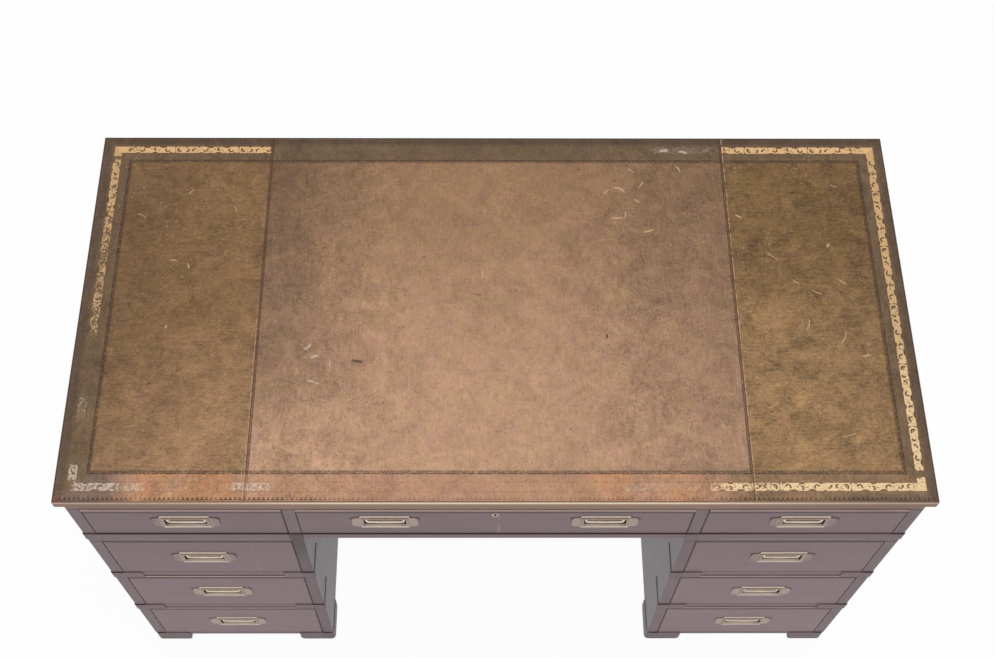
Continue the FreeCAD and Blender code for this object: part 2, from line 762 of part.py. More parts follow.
def drawer_stops():
    """Low blocks glued to the dust boards, which the backs of the drawer fronts meet."""
    bays = []
    for side, start in PEDESTALS.items():
        center = f"({start} + pedestal_width / 2)"
        bays += [(f"{side}_{tier}", center, spec["joint"]) for tier, spec in TIERS.items()]
        bays.append((f"{side}_frieze", center, "frieze_joint"))
    bays.append(("center", "0", "frieze_joint"))
    blocks = []
    for bay, center, level in bays:
        for hand, sign in (("a", -1), ("b", 1)):
            blocks.append(board(
                f"stop_{bay}_{hand}",
                (f"{center} + {sign} * opening_width / 4 - stop_width / 2",
                 "case_front + front_thickness", level),
                ("stop_width", "stop_depth", "stop_height")))
    node(group("stops", blocks), "drawer_stops")


# ---------------------------------------------------------------- build and export

def require(condition, statement):
    if not condition:
        raise RuntimeError("this doesn't hold: " + statement)


def check_document():
    """Stop on any failed object or unsound sub-part."""
    for item in doc.Objects:
        require("Invalid" not in item.State and "Error" not in item.State,
                f"{item.Name} was computed")
    labels = [item.Label for item in nodes]
    require(len(set(labels)) == len(labels), "every sub-part has a label of its own")
    for item in nodes:
        require(not item.Shape.isNull() and item.Shape.isValid(), f"{item.Label} is sound")
        require(len(item.Shape.Solids) > 0, f"{item.Label} is solid")


def export_nodes():
    os.makedirs(PARTS_FOLDER, exist_ok=True)
    for item in nodes:
        item.Shape.exportStep(os.path.join(PARTS_FOLDER, item.Label + ".step"))


top_board()
leather_panels()
frieze_case(frieze_feet())
for pedestal_side in PEDESTALS:
    for pedestal_tier in TIERS:
        tier_case(pedestal_side, pedestal_tier)
pedestal_feet()
all_drawers()
drawer_stops()
doc.recompute()
check_document()
export_nodes()
print(len(nodes), "sub-parts,", sum(len(item.Shape.Solids) for item in nodes), "solids")
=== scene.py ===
"""Looks of the campaign desk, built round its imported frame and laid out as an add-on."""

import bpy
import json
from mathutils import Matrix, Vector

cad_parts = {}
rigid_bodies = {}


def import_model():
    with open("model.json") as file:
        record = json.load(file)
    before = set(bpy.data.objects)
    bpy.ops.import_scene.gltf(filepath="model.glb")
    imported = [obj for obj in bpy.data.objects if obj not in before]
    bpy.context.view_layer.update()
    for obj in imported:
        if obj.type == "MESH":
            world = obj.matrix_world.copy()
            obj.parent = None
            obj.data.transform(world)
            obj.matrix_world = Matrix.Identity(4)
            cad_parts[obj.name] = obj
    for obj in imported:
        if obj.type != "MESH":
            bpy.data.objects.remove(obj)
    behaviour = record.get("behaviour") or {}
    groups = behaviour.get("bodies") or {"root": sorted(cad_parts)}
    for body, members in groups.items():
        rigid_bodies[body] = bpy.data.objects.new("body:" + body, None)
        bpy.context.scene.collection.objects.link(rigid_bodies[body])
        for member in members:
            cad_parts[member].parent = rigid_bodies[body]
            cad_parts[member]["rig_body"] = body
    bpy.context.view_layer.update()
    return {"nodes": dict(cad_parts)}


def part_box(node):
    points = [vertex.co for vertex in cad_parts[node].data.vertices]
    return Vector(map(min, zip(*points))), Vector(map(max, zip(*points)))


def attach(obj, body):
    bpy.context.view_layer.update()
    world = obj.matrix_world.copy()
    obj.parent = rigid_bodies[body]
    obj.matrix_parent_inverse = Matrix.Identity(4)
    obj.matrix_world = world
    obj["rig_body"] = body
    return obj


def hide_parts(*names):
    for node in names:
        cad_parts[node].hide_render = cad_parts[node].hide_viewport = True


bl_info = {
    "name": "Campaign desk finishes",
    "version": (1, 1, 0),
    "blender": (4, 5, 0),
    "location": "3D View > Sidebar > Desk",
    "description": "Dresses a three-part campaign desk: leather, woods, brass and stage",
    "category": "Object",
}

import json
from math import cos, pi, radians, sin

import bmesh
import bpy
import numpy as np
from bpy.props import FloatProperty, FloatVectorProperty, PointerProperty
from mathutils import Matrix, Vector

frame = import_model()
MM = 0.001
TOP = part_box("top_board")
HALF_WIDTH = TOP[1].x / MM
HALF_DEPTH = TOP[1].y / MM
TOP_LEVEL = TOP[1].z / MM
TOP_OVERHANG = 8.5
# Half the width and height of a handle plate's body, and of its round lobes.
BODY_HALF, BODY_RISE, LOBE_HALF, LOBE_RISE = 40.0, 26.0, 53.5, 19.0
# The seams between the leather panels, and how far in from the edge the tooling lies.
LEFT_SEAM, RIGHT_SEAM = -389.7, 400.9
TOOLED_LINE = 50.4
GILT_INNER, GILT_OUTER, GILT_REPEAT = 32.8, 19.6, 111.3
DRAWERS = sorted(name[:-len("_front")] for name in frame["nodes"] if name.endswith("_front"))
BAILS = sorted(name for name in frame["nodes"] if name.endswith("_bail"))


def tone(red, green, blue):
    """A display colour of 0 to 255 as the linear colour that Blender's sockets hold."""
    shares = np.array([red, green, blue]) / 255
    linear = np.where(shares <= 0.04045, shares / 12.92, ((shares + 0.055) / 1.055) ** 2.4)
    return tuple(float(share) for share in linear)


# ==== settings

def length(name, description, millimetres):
    """A length setting, shown in Blender's units."""
    return FloatProperty(name=name, description=description, default=millimetres * MM,
                         min=0.0, unit="LENGTH", precision=5)


def colour(name, description, *display):
    """A colour setting whose default is given as a display colour."""
    return FloatVectorProperty(name=name, description=description, default=tone(*display),
                               subtype="COLOR", size=3, min=0.0, max=1.0)


class DeskSizes(bpy.types.PropertyGroup):
    """The sizes of what is worked on to the desk's surfaces."""

    seam_dip: length("Seam dip", "How far the leather rolls down at its seams", 0.8)
    tool_dip: length("Tooling depth", "How deep the tooled lines are pressed", 0.35)
    board_ease: length("Board edge", "Width of the eased edges of the boards", 0.35)
    front_ease: length("Drawer edge", "Width of the eased edges of the drawer fronts", 0.25)
    brass_ease: length("Brass edge", "Width of the eased edges of the brass", 0.25)


class DeskColours(bpy.types.PropertyGroup):
    """The colours of the desk's finishes."""

    top_wood: colour("Top edge", "Mahogany of the top's edge", 136, 103, 84)
    case_wood: colour("Cases", "Mahogany of the cases", 122, 103, 106)
    front_wood: colour("Drawer fronts", "Mahogany of the drawer fronts", 123, 101, 105)
    inner_wood: colour("Inside faces", "Unpolished wood inside the cases", 120, 92, 72)
    lining_wood: colour("Drawer linings", "Pale wood of the drawer linings", 178, 148, 112)
    leather_left: colour("Left leather", "Leather of the left panel, near the sitter",
                         166, 130, 98)
    leather_center: colour("Centre leather", "Leather of the middle panel, near the sitter",
                           190, 151, 124)
    leather_right: colour("Right leather", "Leather of the right panel, near the sitter",
                          150, 118, 84)
    leaf: colour("Gold leaf", "Gold leaf of the tooled border", 226, 196, 152)
    plate: colour("Handle plates", "Tarnished brass of the plates", 172, 154, 138)
    bail: colour("Handle grips", "Rubbed brass of the swinging grips", 240, 222, 202)


class DeskStage(bpy.types.PropertyGroup):
    """The floor and the lights that the desk is shown in."""

    floor_colour: colour("Floor", "Colour of the plain floor", 250, 250, 250)
    sky: FloatProperty(name="Sky", description="Strength of the light from all round",
                       default=0.50, min=0.0)
    key: FloatProperty(name="Key lamp", description="Power of the large lamp overhead",
                       default=45.0, min=0.0, unit="POWER")
    fill: FloatProperty(name="Front lamp", description="Power of the lamp in front",
                        default=20.0, min=0.0, unit="POWER")


def sizes():
    return bpy.context.scene.desk_sizes


def colours():
    return bpy.context.scene.desk_colours


# ==== node sums

def sum_of(operation, turned=False):
    """A method that adds the Math node of an operation on a wire and another value."""
    def method(self, other):
        return self.graph.math(operation, *((other, self) if turned else (self, other)))
    return method


class Wire:
    """One output socket. Sums written with it add the Math nodes that work them out."""

    def __init__(self, graph, socket):
        self.graph, self.socket = graph, socket

    __add__ = __radd__ = sum_of("ADD")
    __mul__ = __rmul__ = sum_of("MULTIPLY")
    __sub__ = sum_of("SUBTRACT")
    __rsub__ = sum_of("SUBTRACT", turned=True)
    __truediv__ = sum_of("DIVIDE")
    __pow__ = sum_of("POWER")
    least = sum_of("MINIMUM")

    def __abs__(self):
        return self.graph.math("ABSOLUTE", self)

    def most(self, *others):
        """The highest of this wire and the others."""
        highest = self
        for other in others:
            highest = self.graph.math("MAXIMUM", highest, other)
        return highest

    def fold(self, reach):
        """Runs from 0 up to reach and back again, over and over."""
        return self.graph.math("PINGPONG", self, reach)

    def wrap(self, reach):
        """Runs from 0 up to reach and starts again, over and over."""
        return self.graph.math("FLOORED_MODULO", self, reach)

    def rise(self, low, high, start=0.0, end=1.0):
        """start below low, end above high, and a smooth step between them."""
        return self.graph.add("MapRange", {"interpolation_type": "SMOOTHSTEP"},
                              {"Value": self, "From Min": low, "From Max": high,
                               "To Min": start, "To Max": end})

    def fall(self, low, high):
        """1 below low, 0 above high, and a smooth step between them."""
        return self.rise(low, high, 1.0, 0.0)

    def within(self, low, high, soft):
        """1 from low to high and 0 outside, with edges soft wide."""
        return (self.rise(low - soft / 2, low + soft / 2)
                * self.fall(high - soft / 2, high + soft / 2))

    def bands(self, soft, *ranges):
        """1 within each of several ranges."""
        first, *others = [self.within(low, high, soft) for low, high in ranges]
        return first.most(*others)

    def output(self, name):
        """Another output of the same node."""
        return Wire(self.graph, self.socket.node.outputs[name])


class Graph:
    """A node tree, and the nodes that expressions add to it."""

    def __init__(self, tree):
        self.tree = tree
        tree.nodes.clear()

    def put(self, node, socket, value):
        """Links a wire to a socket, or sets its value."""
        if isinstance(value, Wire):
            self.tree.links.new(value.socket, node.inputs[socket])
        elif hasattr(value, "__len__") and node.inputs[socket].type == "RGBA":
            node.inputs[socket].default_value = (*value, 1.0)
        else:
            node.inputs[socket].default_value = value

    def add(self, kind, settings, values, output=0):
        """Adds a shader node of any kind: its settings first, then its sockets' values or
        links."""
        node = self.tree.nodes.new("ShaderNode" + kind)
        for setting, value in settings.items():
            setattr(node, setting, value)
        for socket, value in values.items():
            self.put(node, socket, value)
        return Wire(self, node.outputs[output])

    def math(self, operation, *values):
        return self.add("Math", {"operation": operation}, dict(enumerate(values)))

    def vector(self, operation, *values, output=0, **named):
        return self.add("VectorMath", {"operation": operation},
                        {**dict(enumerate(values)), **named}, output)

    def mix(self, first, second, share):
        """The colour first where share is 0 and second where it is 1."""
        return self.add("Mix", {"data_type": "RGBA"}, {0: share, 6: first, 7: second},
                        2)

    def coat(self, colour, *coats):
        """The colour under coats of others: each a display colour and where it covers."""
        for shade, share in coats:
            colour = self.mix(colour, tone(*shade), share)
        return colour

    def blend(self, first, second, share):
        """The shader first where share is 0 and second where it is 1."""
        return self.add("MixShader", {}, {0: share, 1: first, 2: second})

    def shade(self, colour, amount):
        """The colour made darker below an amount of 1 and lighter above it."""
        return self.vector("SCALE", colour, Scale=amount)

    def seen(self):
        """1 for what the camera, a gloss or a clear pane shows, and 0 for light."""
        path = self.add("LightPath", {}, {}, "Is Camera Ray")
        return path.most(path.output("Is Glossy Ray"), path.output("Is Transmission Ray"))


class Finish(Graph):
    """One node material: a Principled shader and the nodes that feed it."""

    def __init__(self, name, **constants):
        self.material = bpy.data.materials.new(name)
        self.material.use_nodes = True
        super().__init__(self.material.node_tree)
        self.shader = self.add("BsdfPrincipled", {}, {
            socket.replace("_", " "): value for socket, value in constants.items()})
        self.end = self.tree.nodes.new("ShaderNodeOutputMaterial")
        self.put(self.end, "Surface", self.shader)
        place = self.add("TexCoord", {}, {}, "Object")
        self.place = self.vector("SCALE", place, Scale=1 / MM)
        self.x, self.y, self.z = (self.add("SeparateXYZ", {}, {0: self.place}, axis)
                                  for axis in "XYZ")

    def cloud(self, size, detail=3.0, roughness=0.5, stretch=(1, 1, 1), seed=0.0, curl=0.0):
        """Soft noise from 0 to 1 in lumps about size millimetres across, times stretch."""
        scales = [1 / (size * reach) for reach in stretch]
        place = self.vector("MULTIPLY_ADD", self.place, scales, (seed, 1.7 * seed, -seed))
        return self.add("TexNoise", {},
                        {"Vector": place, "Scale": 1.0, "Detail": detail,
                         "Roughness": roughness, "Distortion": curl})

    def arcs(self, size, width, share, seed):
        """Long curved hairlines of uneven length: the line where a soft noise passes one
        half, shown only where a second noise is high."""
        level = abs(self.cloud(size, 1.0, 0.4, (1, 1, 9), seed) - 0.5)
        shown = self.cloud(0.42 * size, 1.0, 0.5, (1, 1, 9), seed + 40.0)
        return level.fall(0.1 * width, width) * shown.rise(share, share + 0.05)

    def flecks(self, cell, reach, width, share, seed):
        """Short curved nicks, at most one to a cell: each cell of a Voronoi pattern draws
        |across - bend * along^2| < width for |along| < reach, turned at random."""
        place = self.vector("MULTIPLY_ADD", self.place, (1 / cell, 1 / cell, 0.0),
                            (seed, -seed, 0.0))
        cells = self.add("TexVoronoi", {"voronoi_dimensions": "2D"},
                         {"Vector": place, "Scale": 1.0}, "Color")
        chance, turn, bend = (self.add("SeparateColor", {}, {0: cells}, index)
                              for index in range(3))
        offset = self.vector("SUBTRACT", place, cells.output("Position"))
        across, along = (self.add("SeparateXYZ", {}, {0: offset}, axis) * cell
                         for axis in "XY")
        angle = turn * (2 * pi)
        return self.stroke(along, across, self.math("COSINE", angle), self.math("SINE", angle),
                           reach * (0.4 + 0.6 * bend), width,
                           (bend - 0.5) / (0.5 * reach)) * chance.fall(share, share + 0.02)

    def stroke(self, along, across, cosine, sine, reach, width, bend):
        """One curved line: the offset is turned, and the line is a parabola through it."""
        forward = along * cosine + across * sine
        aside = across * cosine - along * sine
        return (abs(aside - forward * forward * bend).fall(0.35 * width, width)
                * (abs(forward) / reach).fall(0.6, 1.0))

    def bump(self, height, strength, distance):
        """Sets the shader's normal from a height of 0 to 1 and the depth it stands for."""
        self.set(Normal=self.add("Bump", {}, {
            "Height": height, "Strength": strength, "Distance": distance * MM}))

    def set(self, **sockets):
        """Sets the shader's own sockets."""
        for socket, value in sockets.items():
            self.put(self.shader.socket.node, socket.replace("_", " "), value)
        return self.material


# ==== shapes

def linked(name, data):
    """A new object in the scene."""
    piece = bpy.data.objects.new(name, data)
    bpy.context.scene.collection.objects.link(piece)
    return piece


def new_piece(name, vertices, faces, material, body):
    """Puts whole arrays of points and faces into a smooth mesh that rides on a body."""
    mesh = bpy.data.meshes.new(name)
    mesh.from_pydata(np.asarray(vertices) * MM, [], faces)
    mesh.validate()
    mesh.polygons.foreach_set("use_smooth", np.ones(len(mesh.polygons), bool))
    piece = linked(name, mesh)
    mesh.materials.append(material)
    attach(piece, body)
    return piece


def grid_faces(rows, columns, wrap=False):
    """The quads of a grid of points stored row by row, closed across the rows if wrap."""
    across = np.arange(columns if wrap else columns - 1)
    first = (np.arange(rows - 1)[:, None] * columns + across).ravel()
    second = (np.arange(rows - 1)[:, None] * columns + (across + 1) % columns).ravel()
    return np.stack([first, second, second + columns, first + columns], 1).tolist()


def bounds_mm(node):
    """A CAD node's box in millimetres."""
    return tuple(np.array(corner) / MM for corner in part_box(node))


def body_of(node):
    """The body that a CAD node rides on."""
    return frame["nodes"][node]["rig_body"]


def plate_of(drawer):
    """Where a drawer's plates are: their middle, level and offset, and their front face."""
    low, high = bounds_mm(drawer + "_handle_plate")
    middle = (low + high) / 2
    return (middle[0], middle[2], max(0.0, (high[0] - low[0]) / 2 - LOBE_HALF)), low[1]


def finish_node(node, material):
    """Gives a CAD node its material."""
    mesh = frame["nodes"][node].data
    mesh.materials.clear()
    mesh.materials.append(material)


def solid_ends(mesh):
    """Where each solid of a mesh of triangles ends. A solid's triangles follow one another,
    and each of its edges has two of them, so a solid ends where no edge is still waiting
    for its second triangle."""
    count = len(mesh.polygons)
    place = np.empty(3 * len(mesh.vertices), np.float32)
    mesh.vertices.foreach_get("co", place)
    same = np.round(place.reshape(-1, 3) / (0.05 * MM)).astype(int)
    same = np.unique(same, axis=0, return_inverse=True)[1].ravel()
    corners = np.empty(3 * count, int)
    mesh.polygons.foreach_get("vertices", corners)
    corners = same[corners].reshape(-1, 3)
    edges = np.sort(np.stack([corners, np.roll(corners, -1, 1)], 2).reshape(-1, 2), 1)
    order = np.lexsort((np.repeat(np.arange(count), 3), edges[:, 1], edges[:, 0]))
    pairs = np.repeat(np.arange(count), 3)[order][: 3 * count // 2 * 2].reshape(-1, 2)
    waiting = np.bincount(pairs[:, 0], minlength=count) \
        - np.bincount(pairs[:, 1], minlength=count)
    return np.flatnonzero(np.cumsum(waiting) == 0) + 1


def eased(node, material, width):
    """A copy of a CAD node with each solid's faces merged, whose sharp edges a bevel
    rounds off."""
    mesh = frame["nodes"][node].data.copy()
    ends = solid_ends(mesh)
    work = bmesh.new()
    work.from_mesh(mesh)
    faces = list(work.faces)
    for start, end in zip([0, *ends], ends):
        corners = dict.fromkeys(corner for face in faces[start:end] for corner in face.verts)
        bmesh.ops.remove_doubles(work, verts=list(corners), dist=0.005 * MM)
    bmesh.ops.dissolve_limit(work, angle_limit=radians(0.3), verts=work.verts,
                             edges=work.edges)
    work.to_mesh(mesh)
    work.free()
    piece = linked(node + "_piece", mesh)
    mesh.materials.clear()
    mesh.materials.append(material)
    bevel = piece.modifiers.new("eased edges", "BEVEL")
    bevel.width, bevel.segments, bevel.limit_method = width, 2, "ANGLE"
    bevel.angle_limit = radians(35)
    piece.modifiers.new("level faces", "WEIGHTED_NORMAL").weight = 100
    mesh.polygons.foreach_set("use_smooth", np.ones(len(mesh.polygons), bool))
    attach(piece, body_of(node))
    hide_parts(node)
    return piece


# ==== leather

class Leather(Finish):
    """Old tooled leather, worked out from the distances to the sides of the top."""

    def __init__(self, name):
        super().__init__(name, IOR=1.45, Specular_IOR_Level=0.22)
        self.depth = self.y + HALF_DEPTH
        self.left = self.x + (HALF_WIDTH - 1.0)
        self.right = (HALF_WIDTH + 2.6) - self.x
        self.near = self.depth + 0.6
        self.far = (2 * HALF_DEPTH - 0.2) - self.depth
        side, end = self.left.least(self.right), self.near.least(self.far)
        self.edge = side.least(end)
        self.corner = side.most(end)
        self.on_side = (end - side).rise(-0.4, 0.4)
        self.is_near = (self.far - self.near).rise(-1.0, 1.0)
        along_end = (self.x + 560.0) * (1.0 - 2.0 * self.is_near)
        along_side = (self.depth - 462.0) * (1.0 - 2.0 * self.x.rise(-1.0, 1.0))
        self.run = along_end + (along_side - along_end) * self.on_side
        self.middle = self.cloud(44, 5.0, 0.72, seed=7.0, curl=0.8)
        self.small = self.cloud(7, 4.0, 0.8, seed=11.0, curl=1.4)
        self.dust = self.cloud(1.9, 2.0, 0.8, seed=17.0)

    def mottled(self, colour, strength=1.0, run=(1, 9, 1)):
        """Blotches, grain and rubbed streaks, lighter and darker round the colour."""
        streak = self.cloud(3.0, 3.0, 0.7, run, 5.0)
        calm = 1.0 - self.x.within(-190, 170, 150) * 0.36
        amount = (1.0 + ((self.middle - 0.5) * 1.45 + (self.small - 0.5) * 1.55
                         + (self.dust - 0.5) * 0.30 + (streak - 0.5) * 0.75)
                  * (calm * strength))
        hue = self.cloud(26, 4.0, 0.7, seed=27.0, curl=1.0).rise(0.34, 0.66)
        tint = self.mix((1.0, 0.95, 0.975), (0.965, 0.985, 0.86), hue)
        return self.shade(self.vector("MULTIPLY", colour, tint), amount * 1.02)

    def hide(self, base, fade, run, rough):
        """The broad tones: pale near the sitter, partly rubbed and partly painted light, brown
        and olive further back.
        """
        # Painted light and wear: lighter near the sitter, darker and more olive further back.
        back = self.mix((1.0, 1.0, 1.0), (0.61, 0.59, 0.52), self.depth.rise(*fade))
        return self.mottled(self.vector("MULTIPLY", tuple(base), back), rough, run)

    def border(self, colour):
        """Outside the tooled line the leather is darker, but worn red along the near side."""
        outer = self.edge.fall(9.0, 22.0)
        dark = self.mix(tone(109, 88, 68), tone(91, 74, 61), outer)
        # Lighter near the sitter, partly wear and partly painted light; lighter on the outermost
        # side strips, where dust lies.
        dark = self.shade(dark, 1.0 + self.depth.fall(60, 300) * 0.20
                          + self.left.least(self.right).fall(9, 16) * 0.18)
        worn = self.cloud(60, 3.0, 0.6, seed=23.0)
        orange = worn.rise(0.40, 0.62) * self.x.within(-560, -380, 60).most(
            self.x.within(140, 330, 80))
        warm = self.coat(tone(184, 142, 116), ((188, 137, 103), orange),
                         ((122, 102, 91), self.x.fall(-620, -550) * 0.9),
                         ((136, 109, 84), self.x.rise(300, 400) * 0.9),
                         ((116, 95, 78), self.x.rise(500, 560) * outer))
        turned = (self.far.least(self.near) - self.left.least(self.right)).rise(-16, 12)
        rim = self.mix(dark, warm, self.is_near * (1.0 - turned))
        return self.mix(colour, self.mottled(rim, 1.0), self.edge.fall(49.0, 50.5))

    def wear(self, colour, scratched):
        """Hairlines, nicks and rubbed spots, paler than the leather, and a few dark ones."""
        patch = self.cloud(75, 2.0, 0.5, seed=31.0).rise(0.40, 0.62, 0.25, 1.0)
        inside = self.edge.rise(14.0, 60.0, 0.4, 1.0)
        pale = self.arcs(46, 0.0036, 0.64, 3.0).most(
            self.arcs(24, 0.0065, 0.66, 9.0), self.flecks(21, 5.0, 0.9, 0.30, 7.9),
            self.flecks(9.5, 1.7, 0.9, 0.26, 2.7)) * 0.42
        pale = pale.most(self.flecks(58, 17.0, 0.6, 0.30, 5.1) * 0.5)
        calm = 1.0 - self.x.within(-190, 170, 150) * 0.5
        scuffed = self.cloud(5.0, 4.0, 0.85, seed=35.0, curl=1.0).rise(0.56, 0.70)
        dark = self.arcs(30, 0.006, 0.60, 21.0).most(self.flecks(14, 3.0, 0.9, 0.3, 12.0),
                                                     self.dust.rise(0.64, 0.76) * 0.7)
        return self.coat(colour, ((205, 170, 128), pale * patch * inside * scratched),
                         ((212, 178, 138), scuffed * patch * inside * calm * 0.42),
                         ((74, 54, 42), dark * 0.5)), pale

    def marks(self, colour, marks):
        """The larger marks, each at its own place: a stroke and its strength. A stain is
        a short wide stroke in a dark colour."""
        ragged = self.small.rise(0.36, 0.52, 0.35, 1.0)
        for shade, places in marks.items():
            shown, *others = [
                self.stroke(self.x - across, self.depth - depth, cos(radians(turn)),
                            sin(radians(turn)), reach, width, bend)
                for across, depth, turn, reach, width, bend in places]
            colour = self.coat(colour, (shade, shown.most(*others) * ragged * 0.82))
        return colour

    def tooling(self, colour):
        """Blind tooling: a double line with a twist in it, and a zigzag by the edge."""
        twist = (self.run + self.edge * 1.3).fold(1.9).fall(0.5, 1.4)
        lines = self.edge.within(47.2, 49.0, 0.6).most(self.edge.within(52.0, 53.6, 0.6) * 0.7)
        filled = self.edge.within(48.6, 52.6, 0.8) * (0.45 + self.on_side * 0.3)
        lines = lines.most(filled, twist * self.edge.within(48.6, 52.6, 0.6))
        lines = lines * self.cloud(2.6, 2.0, seed=41.0).rise(0.36, 0.54, 0.30, 1.0)
        teeth = self.run.fold(3.65) * 1.7 - (self.edge - 3.8)
        zigzag = (teeth.rise(-0.5, 0.6) * self.edge.within(4.0, 10.2, 0.8)
                  * self.cloud(30, 4.0, 0.7, seed=43.0).rise(0.32, 0.54, 0.30, 1.0))
        along_near = self.is_near * (1.0 - self.on_side)
        zigzag = zigzag * (0.25 + 0.75 * along_near) * (1.0 - self.x.within(-270, 350, 60) * 0.6)
        ticks = (self.run + self.edge * 0.8).fold(2.0).fall(0.4, 1.3)
        ticks = ticks * self.edge.within(7.5, 14.5, 0.8) * (1.0 - along_near)
        zigzag = zigzag.most(ticks * self.small.rise(0.40, 0.58) * 0.8)
        hair = self.edge.within(17.6, 18.8, 0.5).most(self.edge.within(33.4, 35.0, 0.6))
        hair = hair * self.cloud(16, 3.0, 0.7, seed=47.0).rise(0.38, 0.58)
        dark = lines.most(zigzag * 0.85)
        return self.coat(colour, ((112, 66, 54), hair * 0.3), ((62, 43, 34), dark * 0.86)), dark

    def figures(self):
        """The dark figures of the gilt band, which repeat: notches in its two edges, and
        small scrolls between them. level runs from its inner edge outwards."""
        step = self.run.wrap(GILT_REPEAT)
        level = GILT_INNER - self.edge

        def blot(along, across, wide, high):
            return (((step - along) / wide) ** 2
                    + ((level - across) / high) ** 2).fall(0.8, 1.5)

        def scroll(along, across, radius, opening):
            """A thin ring, open on the side that opening points to."""
            beside, above = step - along, level - across
            ring = abs((beside ** 2 + above ** 2) ** 0.5 - radius).fall(0.8, 1.7)
            return ring * (beside * opening[0] + above * opening[1]).fall(0.2, 1.2)

        dark = (step.fall(0.5, 1.1) * 0.9).most(
            *(blot(*place) for place in BLOTS), *(scroll(*place) for place in SCROLLS))
        return dark * self.corner.rise(40.0, 44.0)

    def gilded(self, colour):
        """Gold leaf on the border, whole on the side panels, rubbed away elsewhere, with a
        pale ghost where only the size is left."""
        band = self.edge.within(GILT_OUTER, GILT_INNER, 0.7)
        outer = self.x.fall(-391, -389).most(self.x.rise(401, 403))
        by_far, by_near = self.far.fall(38, 42), self.near.fall(38, 42)
        by_left, by_right = self.left.fall(38, 42), self.right.fall(38, 42)
        whole = (by_far * outer).most(
            by_left * self.depth.rise(262, 300) * self.depth.rise(500, 545, 0.72, 1.0)
            * (1.0 - self.depth.within(637, 649, 3.0) * 0.5),
            by_right * self.depth.rise(14, 15) * (1.0 - 0.85 * self.depth.within(42, 52, 5.0)),
            by_near * self.x.rise(285, 365) * self.x.rise(396, 480, 0.86, 1.0))
        sides = {"near": (by_near, self.x), "left": (by_left, self.depth),
                 "far": (by_far, self.x)}
        ghost, *others = [sides[side][0] * sides[side][1].within(*where) * share
                          for side, where, share in GHOSTS]
        ghost = ghost.most(*others)
        drawn = self.figures() * self.small.rise(0.30, 0.46, 0.5, 1.0)
        bare = band * (1.0 - drawn)
        patchy = self.cloud(3.4, 4.0, 0.8, seed=53.0)
        broad = self.cloud(22, 2.0, seed=57.0)
        held = patchy * 0.75 + broad * 0.25 + whole * 0.34 - 0.34
        gold = bare * held.rise(0.36, 0.47) * whole.rise(0.02, 0.2)
        worn = bare * (patchy + ghost * 0.10).rise(0.50, 0.62) * ghost.rise(0.0, 0.7)
        leaf = self.mix(tuple(colours().leaf), tone(222, 180, 130),
                        (self.depth + broad * 160.0).rise(90, 560))
        leaf = self.shade(leaf, (0.62 + patchy * 0.68)
                          * (1.0 - self.on_side * self.depth.rise(180, 300) * 0.18))
        colour = self.coat(colour, ((62, 46, 32), band * drawn * whole.rise(0.5, 0.9) * 0.55))
        colour = self.mix(colour, leaf, gold * 0.96)
        return self.coat(colour, ((226, 204, 186), worn * 0.85)), gold

    def seams(self, colour):
        """The joins between the panels: a dark double line, with a painted highlight along one
        side.
        """
        rope = self.depth.fold(1.6).fall(0.3, 1.3)
        broken = self.cloud(8, 3.0, 0.7, seed=61.0)
        for seam, sign in ((LEFT_SEAM, -1.0), (RIGHT_SEAM, 1.0)):
            offset = (self.x - seam) * sign
            line = offset.within(-4.0, -2.0, 0.8).most(
                offset.within(-1.2, 0.9, 0.8), offset.within(-2.6, -0.8, 0.6) * rope)
            line = line * (self.dust + broken).rise(0.76, 1.06, 0.45, 1.0)
            line = line * self.near.rise(44, 52, 0.35, 1.0)
            # Painted highlight along one side of the seam, where the rolled edge catches light.
            light = offset.within(1.0, 2.6, 1.0) * broken.rise(0.40, 0.58)
            if sign < 0:
                light = light * self.depth.fall(300, 400)
            colour = self.coat(colour, ((74, 48, 34), line * 0.82),
                               ((204, 166, 138), light * 0.75))
        return colour


# Along the gilt band, across it, and how wide and high: the notches and dots.
BLOTS = ((0.4, 12.6, 2.0, 2.6), (0.4, 0.4, 2.0, 2.4), (8.6, 6.4, 1.5, 1.2),
         (32.0, 5.6, 1.7, 2.4), (35.2, 8.6, 2.2, 1.1), (62.0, 12.9, 5.6, 2.5),
         (77.0, 0.0, 4.2, 2.1), (91.0, 13.2, 5.8, 2.3), (47.0, 0.0, 3.4, 1.4),
         (20.5, 13.4, 3.0, 1.3), (105.0, 0.0, 3.0, 1.3), (71.0, 7.6, 1.1, 0.9),
         (84.0, 6.2, 1.3, 0.9), (42.0, 12.9, 2.2, 1.3))
# Along the band, across it, the radius, and where the scroll is open.
SCROLLS = ((9.0, 6.6, 3.7, (0.8, 0.6)), (54.0, 7.2, 3.7, (-0.4, 0.9)),
           (99.0, 6.8, 3.9, (0.4, 0.9)), (22.0, 5.6, 2.6, (-0.9, 0.3)),
           (78.0, 8.4, 2.6, (0.9, 0.2)))
# Where the leaf is gone but for a ghost: the side, from, to and softness, and strength.
GHOSTS = (("near", (-656, -584, 22), 0.8), ("near", (-578, -545, 14), 0.55),
          ("left", (36, 62, 12), 0.8), ("near", (-412, -352, 26), 0.7),
          ("left", (140, 185, 24), 0.3), ("near", (180, 330, 60), 0.3),
          ("far", (270, 392, 30), 0.25))
